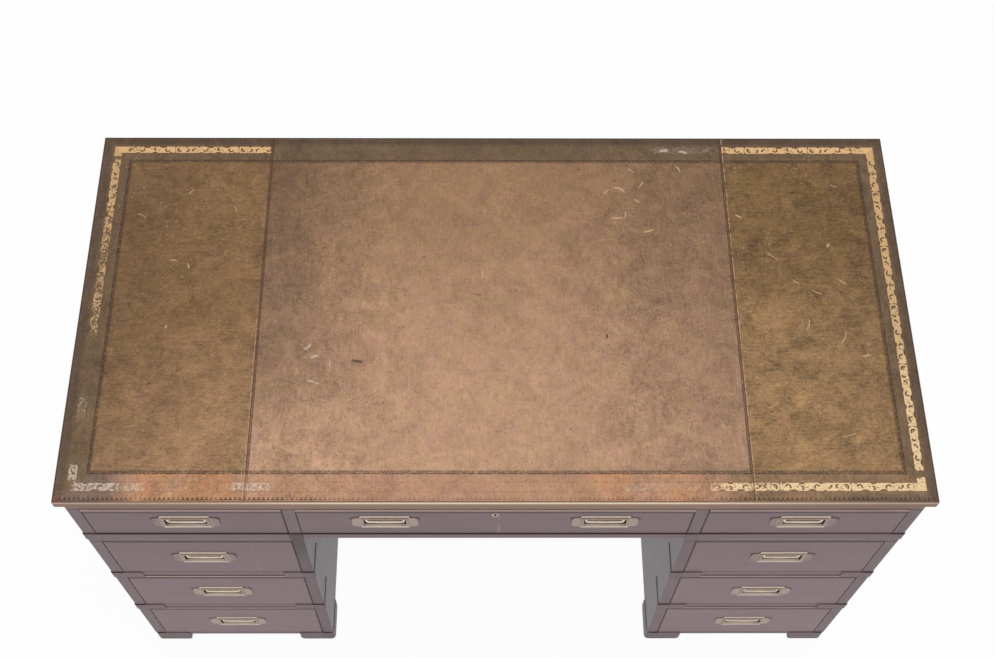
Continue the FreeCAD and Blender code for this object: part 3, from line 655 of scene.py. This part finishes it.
# Single marks by their colour: place across and depth, turn, reach, width and bend.
PALE, GREY, STAIN, RED = (214, 178, 138), (206, 186, 172), (62, 44, 40), (150, 84, 66)
LEFT_MARKS = {
    PALE: [(-514, 422, 105, 6.5, 1.8, 0.04), (-540, 433, 176, 7.5, 1.5, 0.03),
           (-540, 306, 70, 4.5, 2.0, 0.0), (-523, 570, 46, 9.0, 1.2, 0.01),
           (-603, 522, 150, 10.0, 0.9, 0.02), (-444, 536, 118, 8.0, 1.0, 0.03)],
    RED: [(-679, 5, 20, 9.0, 4.5, 0.0)]}
CENTER_MARKS = {
    PALE: [(218, 578, 158, 12.0, 2.2, 0.03), (212, 517, 2, 12.0, 1.9, 0.02),
           (226, 524, 80, 8.0, 1.4, 0.03), (264, 491, 19, 10.0, 1.9, 0.01),
           (256, 585, 58, 9.0, 1.7, 0.01), (240, 615, 136, 7.0, 1.6, 0.0),
           (195, 571, 45, 8.0, 1.3, 0.02), (247, 552, 142, 6.0, 2.0, 0.0),
           (-217, 349, 78, 6.0, 2.6, 0.02), (-19, 408, 88, 9.0, 2.2, 0.02)],
    GREY: [(-305, 268, 40, 9.0, 3.4, 0.03), (-293, 252, 20, 8.0, 3.0, -0.04),
           (-293, 206, 161, 12.0, 1.6, 0.01), (-268, 240, 94, 8.0, 1.2, 0.02),
           (323, 619, 119, 9.0, 1.8, 0.02), (300, 657, 4, 9.0, 4.0, 0.0),
           (334, 654, 165, 8.0, 3.6, 0.01)],
    STAIN: [(-224, 243, 172, 11.0, 3.4, 0.0), (184, 289, 85, 5.0, 2.2, 0.0)]}
RIGHT_MARKS = {
    PALE: [(574, 286, 64, 14.0, 1.4, 0.01), (605, 253, 17, 7.0, 1.8, 0.02),
           (505, 391, 140, 8.0, 1.5, 0.0), (567, 463, 57, 5.0, 2.2, 0.0),
           (582, 392, 144, 11.0, 1.4, -0.01), (537, 372, 153, 10.0, 1.2, -0.01),
           (518, 310, 73, 12.0, 1.1, 0.02), (591, 583, 157, 7.0, 1.3, 0.0),
           (420, 521, 150, 7.0, 1.8, 0.0), (470, 442, 140, 16.0, 0.9, 0.0),
           (447, 165, 30, 16.0, 0.8, 0.01), (560, 112, 15, 14.0, 0.8, 0.01)]}


def leather(name, base, fade, run, rough, marks, shape):
    """A panel of the leather top, with the panel's own broad shading."""
    finish = Leather(name)
    colour = finish.shade(finish.hide(base, fade, run, rough), shape(finish))
    colour = finish.border(colour)
    colour, nicks = finish.wear(colour, rough)
    colour = finish.marks(colour, marks)
    colour, pressed = finish.tooling(colour)
    colour, gold = finish.gilded(colour)
    colour = finish.seams(colour)
    pebble = finish.add("TexVoronoi", {}, {"Vector": finish.place, "Scale": 0.55})
    finish.bump(pebble * 0.35 + finish.small * 0.4 - nicks * 0.3 - pressed * 0.4, 0.3, 0.5)
    return finish.set(Base_Color=colour, Metallic=gold * 0.25,
                      Roughness=0.58 + finish.small * 0.14 - gold * 0.16)


# ==== wood and brass

def wood(name, base, grain_axis="x", polish=0.45, contrast=0.10, seed=0.0, edits=None):
    """Old polished mahogany: long soft grain, short dark pores and cloudy worn polish."""
    finish = Finish(name, IOR=1.5, Specular_IOR_Level=0.35)
    figure, bands, pores = (
        finish.cloud(size, detail, 0.65, [1.0 + reach * (axis == grain_axis) for axis in "xyz"],
                     seed + shift)
        for size, detail, reach, shift in ((7, 5.0, 15.0, 1.0), (30, 2.0, 6.0, 4.0),
                                           (0.7, 1.0, 34.0, 9.0)))
    dull = finish.cloud(48, 4.0, 0.65, seed=seed + 13.0)
    amount = (1.0 + (figure - 0.5) * (2.6 * contrast) + (bands - 0.5) * (1.8 * contrast)
              + (dull - 0.5) * 0.16)
    colour = finish.shade(tuple(base), amount)
    nicks = finish.flecks(26, 4.0, 0.5, 0.2, seed) * finish.cloud(40, seed=seed + 2.0).rise(
        0.45, 0.6)
    colour = finish.coat(colour, ((66, 48, 48), pores.rise(0.58, 0.76) * 0.25),
                         ((176, 150, 146), nicks * 0.35))
    if edits:
        colour = edits(finish, colour)
    finish.bump(figure * 0.4 + pores * 0.6, 0.12, 0.3)
    return finish.set(Base_Color=colour, Roughness=polish + dull * 0.18)


def front_wood(name, base, low, high, plate, seed, beaded):
    """A drawer front, with painted light and shade: lighter low down and to the right, darker
    high up and to the left.
    Grime and painted shadow darken it at its ends towards the kneehole and over its handles, and
    along its top unless it belongs to the frieze. A frieze front has a bead along its top, its
    top face rubbed pale and painted as a highlight, its front face in painted shade and a
    painted shadow under it."""
    def edits(finish, colour):
        # Painted light and shade: lighter low down and to the right, darker high up and to the
        # left.
        colour = finish.shade(colour, 0.97 + 0.24 * finish.z.fall(60, 740)
                              + 0.08 * finish.x.rise(-300, 300))
        drop = high[2] - finish.z
        grime = finish.cloud(14, 3.0, 0.6, (4, 1, 1), seed + 6.0).rise(0.3, 0.6, 0.6, 1.0)
        inner = (high[0] - finish.x if low[0] < -200 else
                 finish.x - low[0] if high[0] > 500 else
                 (finish.x - low[0]).least(high[0] - finish.x))
        ahead = finish.y - low[1]
        beside, above = plate_place(finish, plate)
        outline = (beside - BODY_HALF).most(abs(above) - BODY_RISE).least(
            (beside - LOBE_HALF).most(abs(above) - LOBE_RISE))
        # Grime and painted shade: the gaps at the kneehole ends and the top of each plate's
        # outline get grime and painted shadow; a frieze front gets painted shade on the bead's
        # front and a painted shadow under it, the others a band of grime and painted shadow
        # along the top.
        grime_and_shade = (inner.fall(1.2, 3.0) * grime).most(
            outline.fall(1.8, 3.4) * above.rise(0.0, 12.0),
            *((ahead.fall(0.6, 1.2) * drop.rise(0.6, 1.2),
               drop.within(4.0, 15.5, 1.5) * ahead.rise(2.2, 2.8)) if beaded else
              (drop.fall(3.6, 5.6),)))
        colour = finish.coat(colour, ((62, 42, 44), grime_and_shade * ahead.fall(5.0, 6.0) * 0.84))
        if not beaded:
            return colour
        # The bead's top face, rubbed pale and painted as a highlight.
        rubbed = finish.cloud(30, 3.0, 0.6, (6, 1, 1), seed + 3.0).rise(0.2, 0.5, 0.7, 1.0)
        lit = drop.fall(0.5, 0.9) * ahead.within(0.3, 3.2, 0.5)
        return finish.coat(colour, ((255, 228, 214), lit * rubbed))
    return wood(name, base, "x", 0.42, 0.07, seed, edits)


def plate_place(finish, plate):
    """How far a point is beside and above the middle of the nearest handle plate: plate is
    the middle of the drawer, the level, and how far each plate stands from the middle."""
    middle, level, offset = plate
    return abs(abs(finish.x - middle) - offset), finish.z - level


def brass(name, base, tarnish=0.6, edits=None):
    """Old brass: warm metal dulled in soft patches and rubbed in others."""
    finish = Finish(name)
    patch = finish.cloud(11, 5.0, 0.7, seed=2.0, curl=0.8)
    fine = finish.cloud(1.2, 2.0, 0.6, (7, 1, 1), seed=6.0)
    colour = finish.mix(tuple(base), tone(112, 92, 80), patch.rise(0.44, 0.72) * tarnish)
    colour = finish.shade(colour, 0.88 + fine * 0.22)
    if edits:
        colour = edits(finish, colour)
    finish.bump(fine, 0.08, 0.1)
    return finish.set(Base_Color=colour, Metallic=0.50 - patch.rise(0.48, 0.76) * 0.30,
                      Roughness=0.34 + patch * 0.24)


def plate_brass(name, base, plate, front):
    """The brass of one drawer's plates, told from each plate's middle: shoulders darker on some
    drawers than on others, a duller rim, painted highlights along the rim's lower edge and the
    plate's top edge, the well darker inside with painted light on its bottom ledge, and dark
    patches in the well's top corners."""
    def edits(finish, colour):
        beside, above = plate_place(finish, plate)
        sunk = finish.y - front
        pale = plate[2] > 1 or plate[1] < 500
        lobes = (168, 143, 132) if pale else (134, 109, 104)
        rim = sunk.fall(0.3, 0.8) * beside.fall(37.8, 38.4) * abs(above).fall(18.8, 19.4)
        lower = above.fall(-15.2, -14.4)
        # Painted highlight along the top edge of the plate.
        painted_top_highlight = above.rise(22.4, 23.8) * beside.fall(39.0, 40.5)
        inside = (beside.fall(34.2, 35.0) * abs(above).fall(15.3, 15.7)
                  * sunk.rise(0.4, 0.8))
        # Painted light on the bottom ledge of the well.
        painted_ledge_light = inside * above.fall(-14.4, -14.0) * sunk.fall(3.0, 6.5)
        corners = inside * above.rise(-14.2, -13.6) * beside.rise(24.0, 31.0)
        # The rim's lower edge gets a painted highlight along with the plate's top edge.
        return finish.coat(colour, (lobes, beside.rise(38.0, 44.0) * 0.85),
                           ((150, 132, 120), rim * (1.0 - lower) * 0.7),
                           ((255, 236, 222), (painted_top_highlight + rim * lower * 0.6) * 0.9),
                           ((104, 82, 70), inside * 0.85), ((255, 240, 226), painted_ledge_light * 0.9),
                           ((48, 32, 30), corners * 0.9))
    return brass(name, base, 0.6, edits)


# ==== operators

def stations(start, end, step, features):
    """Coordinates from start to end about step apart, closer round each feature."""
    count = int(round((end - start) / step)) + 1
    points = [np.linspace(start, end, count)]
    points += [feature + np.array([-3.0, -1.6, -0.8, 0.0, 0.8, 1.6, 3.0])
               for feature in features]
    merged = np.unique(np.round(np.concatenate(points), 2))
    merged = merged[(merged >= start) & (merged <= end)]
    keep = np.concatenate([[True], np.diff(merged) > 0.35])
    keep[-1] = True
    return merged[keep]


class DESK_OT_stage(bpy.types.Operator):
    """Adds the floor, the sky, the lamps and the camera"""

    bl_idname = "desk.stage"
    bl_label = "Stage"

    def execute(self, context):
        stage = context.scene.desk_stage
        self.floor(tuple(stage.floor_colour))
        self.sky(stage.sky)
        self.lamp("overhead", (0.3, 0.4, 3.6), 3.0, stage.key)
        self.lamp("front", (-0.6, -3.4, 2.0), 2.6, stage.fill)
        self.camera()
        context.scene.view_settings.view_transform = "Standard"
        return {"FINISHED"}

    def floor(self, shade):
        """A level floor, white to the eye but for the shadow that it keeps."""
        span = np.linspace(-9.0, 9.0, 19)
        across, along = np.meshgrid(span, span)
        points = np.stack([across.ravel(), along.ravel(), np.zeros(across.size)], 1)
        mesh = bpy.data.meshes.new("floor")
        mesh.from_pydata(points, [], grid_faces(19, 19))
        piece = linked("floor", mesh)
        finish = Finish("floor", Roughness=0.9, Specular_IOR_Level=0.1)
        finish.set(Base_Color=finish.shade(shade, 0.99 + finish.cloud(400, 2.0) * 0.02))
        glow = finish.add("Emission", {}, {"Strength": 1.0})
        shown = finish.blend(finish.shader, glow, finish.seen() * 0.96)
        finish.put(finish.end, "Surface", shown)
        mesh.materials.append(finish.material)

    def sky(self, strength):
        """Even light from all round, and plain white where it is looked at."""
        world = bpy.data.worlds.new("sky")
        bpy.context.scene.world = world
        world.use_nodes = True
        graph = Graph(world.node_tree)
        plain, white = (graph.add("Background", {}, {
            "Color": (1.0, 1.0, 1.0), "Strength": share}) for share in (strength, 1.0))
        end = graph.tree.nodes.new("ShaderNodeOutputWorld")
        graph.put(end, "Surface", graph.blend(plain, white, graph.seen()))

    def lamp(self, name, place, size, power):
        """A large square lamp turned towards the middle of the desk."""
        lamp = bpy.data.lights.new(name, "AREA")
        lamp.shape, lamp.size, lamp.energy = "SQUARE", size, power
        piece = linked(name, lamp)
        piece.location = place
        piece.rotation_mode = "QUATERNION"
        piece.rotation_quaternion = (Vector((0.0, 0.0, 0.5)) - Vector(place)) \
            .to_track_quat("-Z", "Y")

    def camera(self):
        """A camera high in front of the desk, looking steeply down on its top."""
        width, focal, middle = 994, 1397.5, 480.0
        yaw, pitch, roll = radians(0.713), radians(62.338), radians(0.670)
        forward = np.array([sin(yaw) * cos(pitch), cos(yaw) * cos(pitch), -sin(pitch)])
        level = np.array([cos(yaw), -sin(yaw), 0.0])
        above = np.cross(level, forward)
        turned = Matrix(np.stack([cos(roll) * level + sin(roll) * above,
                                  cos(roll) * above - sin(roll) * level, -forward],
                                 1).tolist())
        camera = linked("camera", bpy.data.cameras.new("camera"))
        camera.matrix_world = Matrix.Translation((-0.0376, -1.1058, 2.8405)) @ turned.to_4x4()
        camera.data.sensor_width = 36.0
        camera.data.lens = camera.data.sensor_width * focal / width
        camera.data.shift_x = (width / 2 - middle) / width
        camera.data.clip_start, camera.data.clip_end = 0.05, 60.0
        bpy.context.scene.camera = camera


class DESK_OT_top(bpy.types.Operator):
    """Finishes the top board"""

    bl_idname = "desk.top"
    bl_label = "Top board"

    def execute(self, context):
        material = wood("top_mahogany", colours().top_wood, "x", 0.40, 0.08, 2.0, self.edge)
        eased("top_board", material, 0.5 * sizes().board_ease)
        return {"FINISHED"}

    def edge(self, finish, colour):
        """The near edge has painted light, brightest in the middle, and a pale band under its
        arris that is a painted highlight; it is darker along its bottom, and the lip round the
        leather is dark."""
        drop = TOP_LEVEL - finish.z
        face = (finish.y + HALF_DEPTH).fall(0.5, 1.3)
        middle = (abs(finish.x - 30.0) / 620).fall(0.35, 1.0)
        pale = finish.mix(tone(196, 166, 148), tone(255, 236, 204), middle)
        # Painted light on the near face, brightest in the middle.
        colour = finish.shade(colour, 1.0 + face * middle * 0.28)
        # Painted highlight: a pale band under the arris of the near face.
        rubbed = drop.within(1.0, 7.2, 1.4) * 0.9 + drop.within(7.2, 9.0, 2.5) * 0.3
        colour = finish.mix(colour, pale, face * rubbed)
        colour = finish.coat(colour, ((112, 84, 76), drop.rise(16.5, 19.0) * 0.45))
        dark = finish.coat(tone(86, 68, 54), ((140, 104, 82), finish.y.fall(-342, -338)
                                              * abs(finish.x).fall(560, 640)))
        return finish.mix(colour, dark, drop.fall(0.25, 0.6))


class DESK_OT_leather(bpy.types.Operator):
    """Lays the three leather skins, with rolled seams and pressed tooling"""

    bl_idname = "desk.leather"
    bl_label = "Leather"

    def execute(self, context):
        panels = (
            ("leather_left", "leather_side", (20, 400), (9, 1, 1), 1.1, LEFT_MARKS,
             lambda f: f.x.rise(-650, -430, 0.76, 1.0)),
            ("leather_center", "leather_center", (80, 640), (1, 9, 1), 1.0, CENTER_MARKS,
             lambda f: 1.0 - f.x.fall(-400, -140) * f.depth.rise(60, 260) * 0.41
             - f.x.rise(10, 400) * 0.32),
            ("leather_right", "leather_side", (150, 520), (9, 1, 1), 1.45, RIGHT_MARKS,
             lambda f: f.x.rise(470, 650, 1.0, 0.86)))
        for node, slot, fade, run, rough, marks, shape in panels:
            base = getattr(colours(), node)
            hide = leather(node + "_hide", base, fade, run, rough, marks, shape)
            self.skin(node, hide, slot)
        return {"FINISHED"}

    def skin(self, node, material, slot):
        """A skin on a grid: level, less a quarter-round roll at every edge, less a dip
        along each tooled line, less a slow swell of sines, never above the CAD skin."""
        low, high = bounds_mm(node)
        roll, dip = sizes().seam_dip / MM, sizes().tool_dip / MM
        lines_x, lines_y = ([side * (half - TOOLED_LINE) for side in (-1, 1)]
                            for half in (HALF_WIDTH, HALF_DEPTH))
        xs = stations(low[0], high[0], 6.0, [low[0], high[0], *lines_x])
        ys = stations(low[1], high[1], 6.0, [low[1], high[1], *lines_y])
        across, along = np.meshgrid(xs, ys)
        reach = np.minimum.reduce([across - low[0], high[0] - across,
                                   along - low[1], high[1] - along])
        fall = 1 - np.clip(reach / 1.6, 0, 1)
        height = high[2] - roll * (1 - np.sqrt(1 - fall ** 2))
        edge = np.minimum(HALF_WIDTH - np.abs(across), HALF_DEPTH - np.abs(along))
        height -= dip * np.exp(-((edge - TOOLED_LINE) / 1.5) ** 2)
        height -= 0.12 * (1 + np.sin(across / 47 + 1) * np.sin(along / 61)) * (reach > 2)
        rows, columns = across.shape
        top = np.stack([across, along, height], -1).reshape(-1, 3)
        order = np.arange(rows * columns).reshape(rows, columns)
        ring = np.concatenate([order[0, :-1], order[:-1, -1], order[-1, :0:-1],
                               order[:0:-1, 0]])
        base = top[ring] * (1, 1, 0) + (0, 0, low[2])
        start = len(top)
        around = np.arange(len(ring))
        after = np.roll(around, -1)
        faces = grid_faces(rows, columns)
        faces += np.stack([start + around, start + after, ring[after], ring[around]],
                          1).tolist()
        faces.append((start + around[::-1]).tolist())
        piece = new_piece(node + "_skin", np.concatenate([top, base]), faces, material,
                          body_of(node))
        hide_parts(node)


class DESK_OT_cases(bpy.types.Operator):
    """Finishes the cases, the frieze and what is inside them"""

    bl_idname = "desk.cases"
    bl_label = "Cases"

    def execute(self, context):
        wood_tone, ease = colours().case_wood, sizes().board_ease
        upright = wood("upright_mahogany", wood_tone, "z", 0.46, 0.08, 5.0, case_wear_and_painted_light)
        level = wood("rail_mahogany", wood_tone, "x", 0.46, 0.08, 8.0, case_wear_and_painted_light)
        hidden = wood("inner_wood", colours().inner_wood, "x", 0.65, 0.14, 12.0)
        for node in list(frame["nodes"]):
            if "_case_" in node or node in ("frieze_sides", "frieze_dividers"):
                eased(node, upright, ease)
            elif node == "frieze_top_rail":
                eased(node, level, 0.5 * ease)
            elif node in ("frieze_aprons", "frieze_back"):
                eased(node, level, ease)
            elif node in ("frieze_dust_boards", "drawer_stops"):
                finish_node(node, hidden)
        return {"FINISHED"}


def case_wear_and_painted_light(finish, colour):
    """How the cases and feet look: the faces to the kneehole are greyer, the stiles beside it
    darker, the very bottom darker, each ledge over the feet dark, the front above the frieze
    drawers lighter in the middle with painted light, the lower rails with a pale arris that is a
    painted highlight in patches, and the rails over the drawers darker with grime and painted
    shadow of the gaps."""
    face = -HALF_DEPTH + TOP_OVERHANG
    front = (finish.y - face).fall(0.4, 1.2)
    beside = abs(finish.x)
    below = finish.z.fall(640.0, 641.0)
    kneehole = beside.within(315.0, 319.2, 0.6) * (1.0 - front) * below
    stile = beside.within(315.5, 340.0, 3.0) * front * below
    stile = stile * finish.z.rise(400, 600, 0.28, 0.95) * finish.x.rise(-1, 1, 1.0, 0.25)
    colour = finish.coat(colour, ((150, 144, 149), kneehole * 0.85), ((78, 64, 63), stile))
    colour = finish.shade(colour, 1.0 - 0.13 * finish.z.fall(38.0, 44.0))
    middle = (abs(finish.x - 30.0) / 620).fall(0.35, 1.0)
    # Painted light: the front above the frieze drawers is lighter in the middle.
    rail = finish.z.rise(750, 756) * front
    colour = finish.coat(colour, ((146, 110, 92), rail * 0.6))
    colour = finish.shade(colour, 1.0 + rail * middle * 0.28)
    ledge = finish.z.bands(0.5, *((level - 1.2, level + 0.4) for level in
                                  (42.0, 239.0, 436.0, 641.0)))
    proud = (finish.y - face).fall(0.1, 0.5)
    over = beside.rise(656.0, 658.5) + beside.fall(338.0, 340.0) \
        + finish.z.rise(630, 640) * finish.x.rise(330, 560, 1.0, 0.3)
    # Painted highlight along the arrises of the lower rails, broken into patches.
    arris = (finish.z.bands(0.8, (406.8, 411.6), (209.8, 214.6))
             + finish.z.within(611.0, 616.6, 0.8) * 0.3)
    rubbed = finish.cloud(24, 3.0, 0.6, (5, 1, 1), 83.0).rise(0.25, 0.55, 0.5, 1.0)
    # Grime and painted shadow of the gaps along the rails' lower edges over the drawers.
    under = finish.z.bands(1.0, (599.0, 603.0), (402.0, 405.4), (205.0, 208.4),
                           (751.0, 754.6))
    return finish.coat(
        colour, ((52, 38, 40), ledge * proud * over.least(1.0) * 0.85),
        ((188, 160, 150), arris * front * rubbed),
        ((56, 40, 42), under * front * (1.0 - stile) * 0.8))


class DESK_OT_feet(bpy.types.Operator):
    """Finishes the bracket feet"""

    bl_idname = "desk.feet"
    bl_label = "Feet"

    def execute(self, context):
        material = wood("foot_mahogany", colours().case_wood, "x", 0.48, 0.08, 15.0, case_wear_and_painted_light)
        for node in ("left_bracket_feet", "right_bracket_feet", "frieze_bracket_feet"):
            eased(node, material, sizes().board_ease)
        return {"FINISHED"}


class DESK_OT_drawers(bpy.types.Operator):
    """Finishes the drawer fronts and their dovetailed boxes"""

    bl_idname = "desk.drawers"
    bl_label = "Drawers"

    def execute(self, context):
        lining = wood("drawer_lining", colours().lining_wood, "y", 0.7, 0.14, 20.0)
        for index, drawer in enumerate(DRAWERS):
            low, high = bounds_mm(drawer + "_front")
            material = front_wood(drawer + "_mahogany", colours().front_wood, low, high,
                                  plate_of(drawer)[0], 30.0 + 5 * index, high[2] > 700)
            eased(drawer + "_front", material, sizes().front_ease)
            finish_node(drawer + "_box", lining)
        return {"FINISHED"}


class DESK_OT_handles(bpy.types.Operator):
    """Makes the swinging handles and finishes their plates"""

    bl_idname = "desk.handles"
    bl_label = "Handles"

    def execute(self, context):
        for drawer in DRAWERS:
            node = drawer + "_handle_plate"
            metal = plate_brass(node + "_brass", colours().plate, *plate_of(drawer))
            eased(node, metal, sizes().brass_ease)
        metal = brass("bail_brass", colours().bail, 0.2)
        for node in BAILS:
            self.bail(node, metal)
        return {"FINISHED"}

    def bail(self, node, metal):
        """A bar swept along a U: down one leg, round a quarter circle, along the grip and
        up again. Its section is the rounded square |a|^3 + |b|^3 = 1, a little fuller at
        the middle of the grip, and it turns with the path."""
        low, high = bounds_mm(node)
        half, bend, thick, pin_start, pin_drop = 30.5, 6.0, 2.5, 32.0, 2.5
        pivot_x, center_y = (low[:2] + high[:2]) / 2
        bottom, top = low[2] + thick, high[2] - thick * 0.45
        quarter = np.linspace(0, pi / 2, 9)
        leg = np.array([[half, top], [half, (top + bottom + bend) / 2]])
        turn = np.stack([half - bend + bend * np.cos(quarter),
                         bottom + bend - bend * np.sin(quarter)], 1)
        grip = np.stack([np.linspace(half - bend, 0, 9)[1:], np.full(8, bottom)], 1)
        right = np.concatenate([leg, turn, grip])
        path = np.concatenate([right, right[-2::-1] * (-1, 1)])
        ahead = np.gradient(path, axis=0)
        ahead /= np.linalg.norm(ahead, axis=1)[:, None]
        aside = np.stack([-ahead[:, 1], ahead[:, 0]], 1)
        angle = np.linspace(0, 2 * pi, 20, endpoint=False)
        out, front = (np.sign(part) * np.abs(part) ** (2 / 3)
                      for part in (np.cos(angle), np.sin(angle)))
        full = thick * (0.86 + 0.14 * np.exp(-(path[:, 0] / 17.0) ** 2))
        rings = np.empty((len(path), len(angle), 3))
        rings[..., 0] = path[:, :1] + aside[:, :1] * full[:, None] * out
        rings[..., 1] = full[:, None] * front
        rings[..., 2] = path[:, 1:] + aside[:, 1:] * full[:, None] * out
        points = rings.reshape(-1, 3) + (pivot_x, center_y, 0)
        count = len(angle)
        faces = grid_faces(len(path), count, wrap=True)
        faces.append(list(range(count))[::-1])
        faces.append(list(range(len(points) - count, len(points))))
        for sign in (-1, 1):
            pin, pin_faces = self.pin(pivot_x + sign * pin_start, sign, center_y,
                                      high[2] - pin_drop)
            faces += [[index + len(points) for index in face] for face in pin_faces]
            points = np.concatenate([points, pin])
        piece = new_piece(node + "_grip", points, faces, metal, body_of(node))
        self.face_out(piece)
        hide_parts(node)

    def pin(self, start, sign, depth, level):
        """A round pin of 1.3 mm radius along X, narrowing to 0.9 mm at its outer end and closed
        flat at both ends.
        """
        angle = np.linspace(0, 2 * pi, 12, endpoint=False)
        place = np.array([0.0, 1.0, 3.0, 3.4])
        radius = np.array([1.3, 1.3, 1.3, 0.9])
        points = np.stack([np.broadcast_to((start + sign * place)[:, None], (4, 12)),
                           depth + radius[:, None] * np.cos(angle),
                           level + radius[:, None] * np.sin(angle)], -1).reshape(-1, 3)
        faces = grid_faces(4, 12, wrap=True)
        return points, faces + [list(range(12)), list(range(36, 48))]

    def face_out(self, piece):
        """Turns every face of a closed piece outwards."""
        work = bmesh.new()
        work.from_mesh(piece.data)
        bmesh.ops.recalc_face_normals(work, faces=work.faces)
        work.to_mesh(piece.data)
        work.free()


class DESK_OT_lock(bpy.types.Operator):
    """Finishes the lock and its escutcheon"""

    bl_idname = "desk.lock"
    bl_label = "Lock"

    def execute(self, context):
        metal = brass("lock_brass", colours().plate)
        for node in ("lock_case", "lock_bolt"):
            finish_node(node, metal)
        eased("lock_escutcheon", metal, 0.6 * sizes().brass_ease)
        return {"FINISHED"}


class DESK_PT_panel(bpy.types.Panel):
    """The desk's settings and the steps that dress it"""

    bl_idname = "DESK_PT_panel"
    bl_label = "Campaign desk"
    bl_space_type = "VIEW_3D"
    bl_region_type = "UI"
    bl_category = "Desk"

    def draw(self, context):
        for group in (context.scene.desk_sizes, context.scene.desk_colours,
                      context.scene.desk_stage):
            box = self.layout.box()
            for name in type(group).__annotations__:
                box.prop(group, name)
        for step in STEPS:
            self.layout.operator(step.bl_idname)


STEPS = (DESK_OT_stage, DESK_OT_top, DESK_OT_leather, DESK_OT_cases, DESK_OT_feet,
         DESK_OT_drawers, DESK_OT_handles, DESK_OT_lock)
GROUPS = {"desk_sizes": DeskSizes, "desk_colours": DeskColours, "desk_stage": DeskStage}


def register():
    for kind in (*GROUPS.values(), *STEPS, DESK_PT_panel):
        bpy.utils.register_class(kind)
    for name, group in GROUPS.items():
        setattr(bpy.types.Scene, name, PointerProperty(type=group))


def unregister():
    for name in GROUPS:
        delattr(bpy.types.Scene, name)
    for kind in (DESK_PT_panel, *STEPS[::-1], *GROUPS.values()):
        bpy.utils.unregister_class(kind)


def main():
    """Dresses the desk step by step."""
    register()
    for step in STEPS:
        group, name = step.bl_idname.split(".")
        getattr(getattr(bpy.ops, group), name)()


if __name__ == "__main__":
    main()
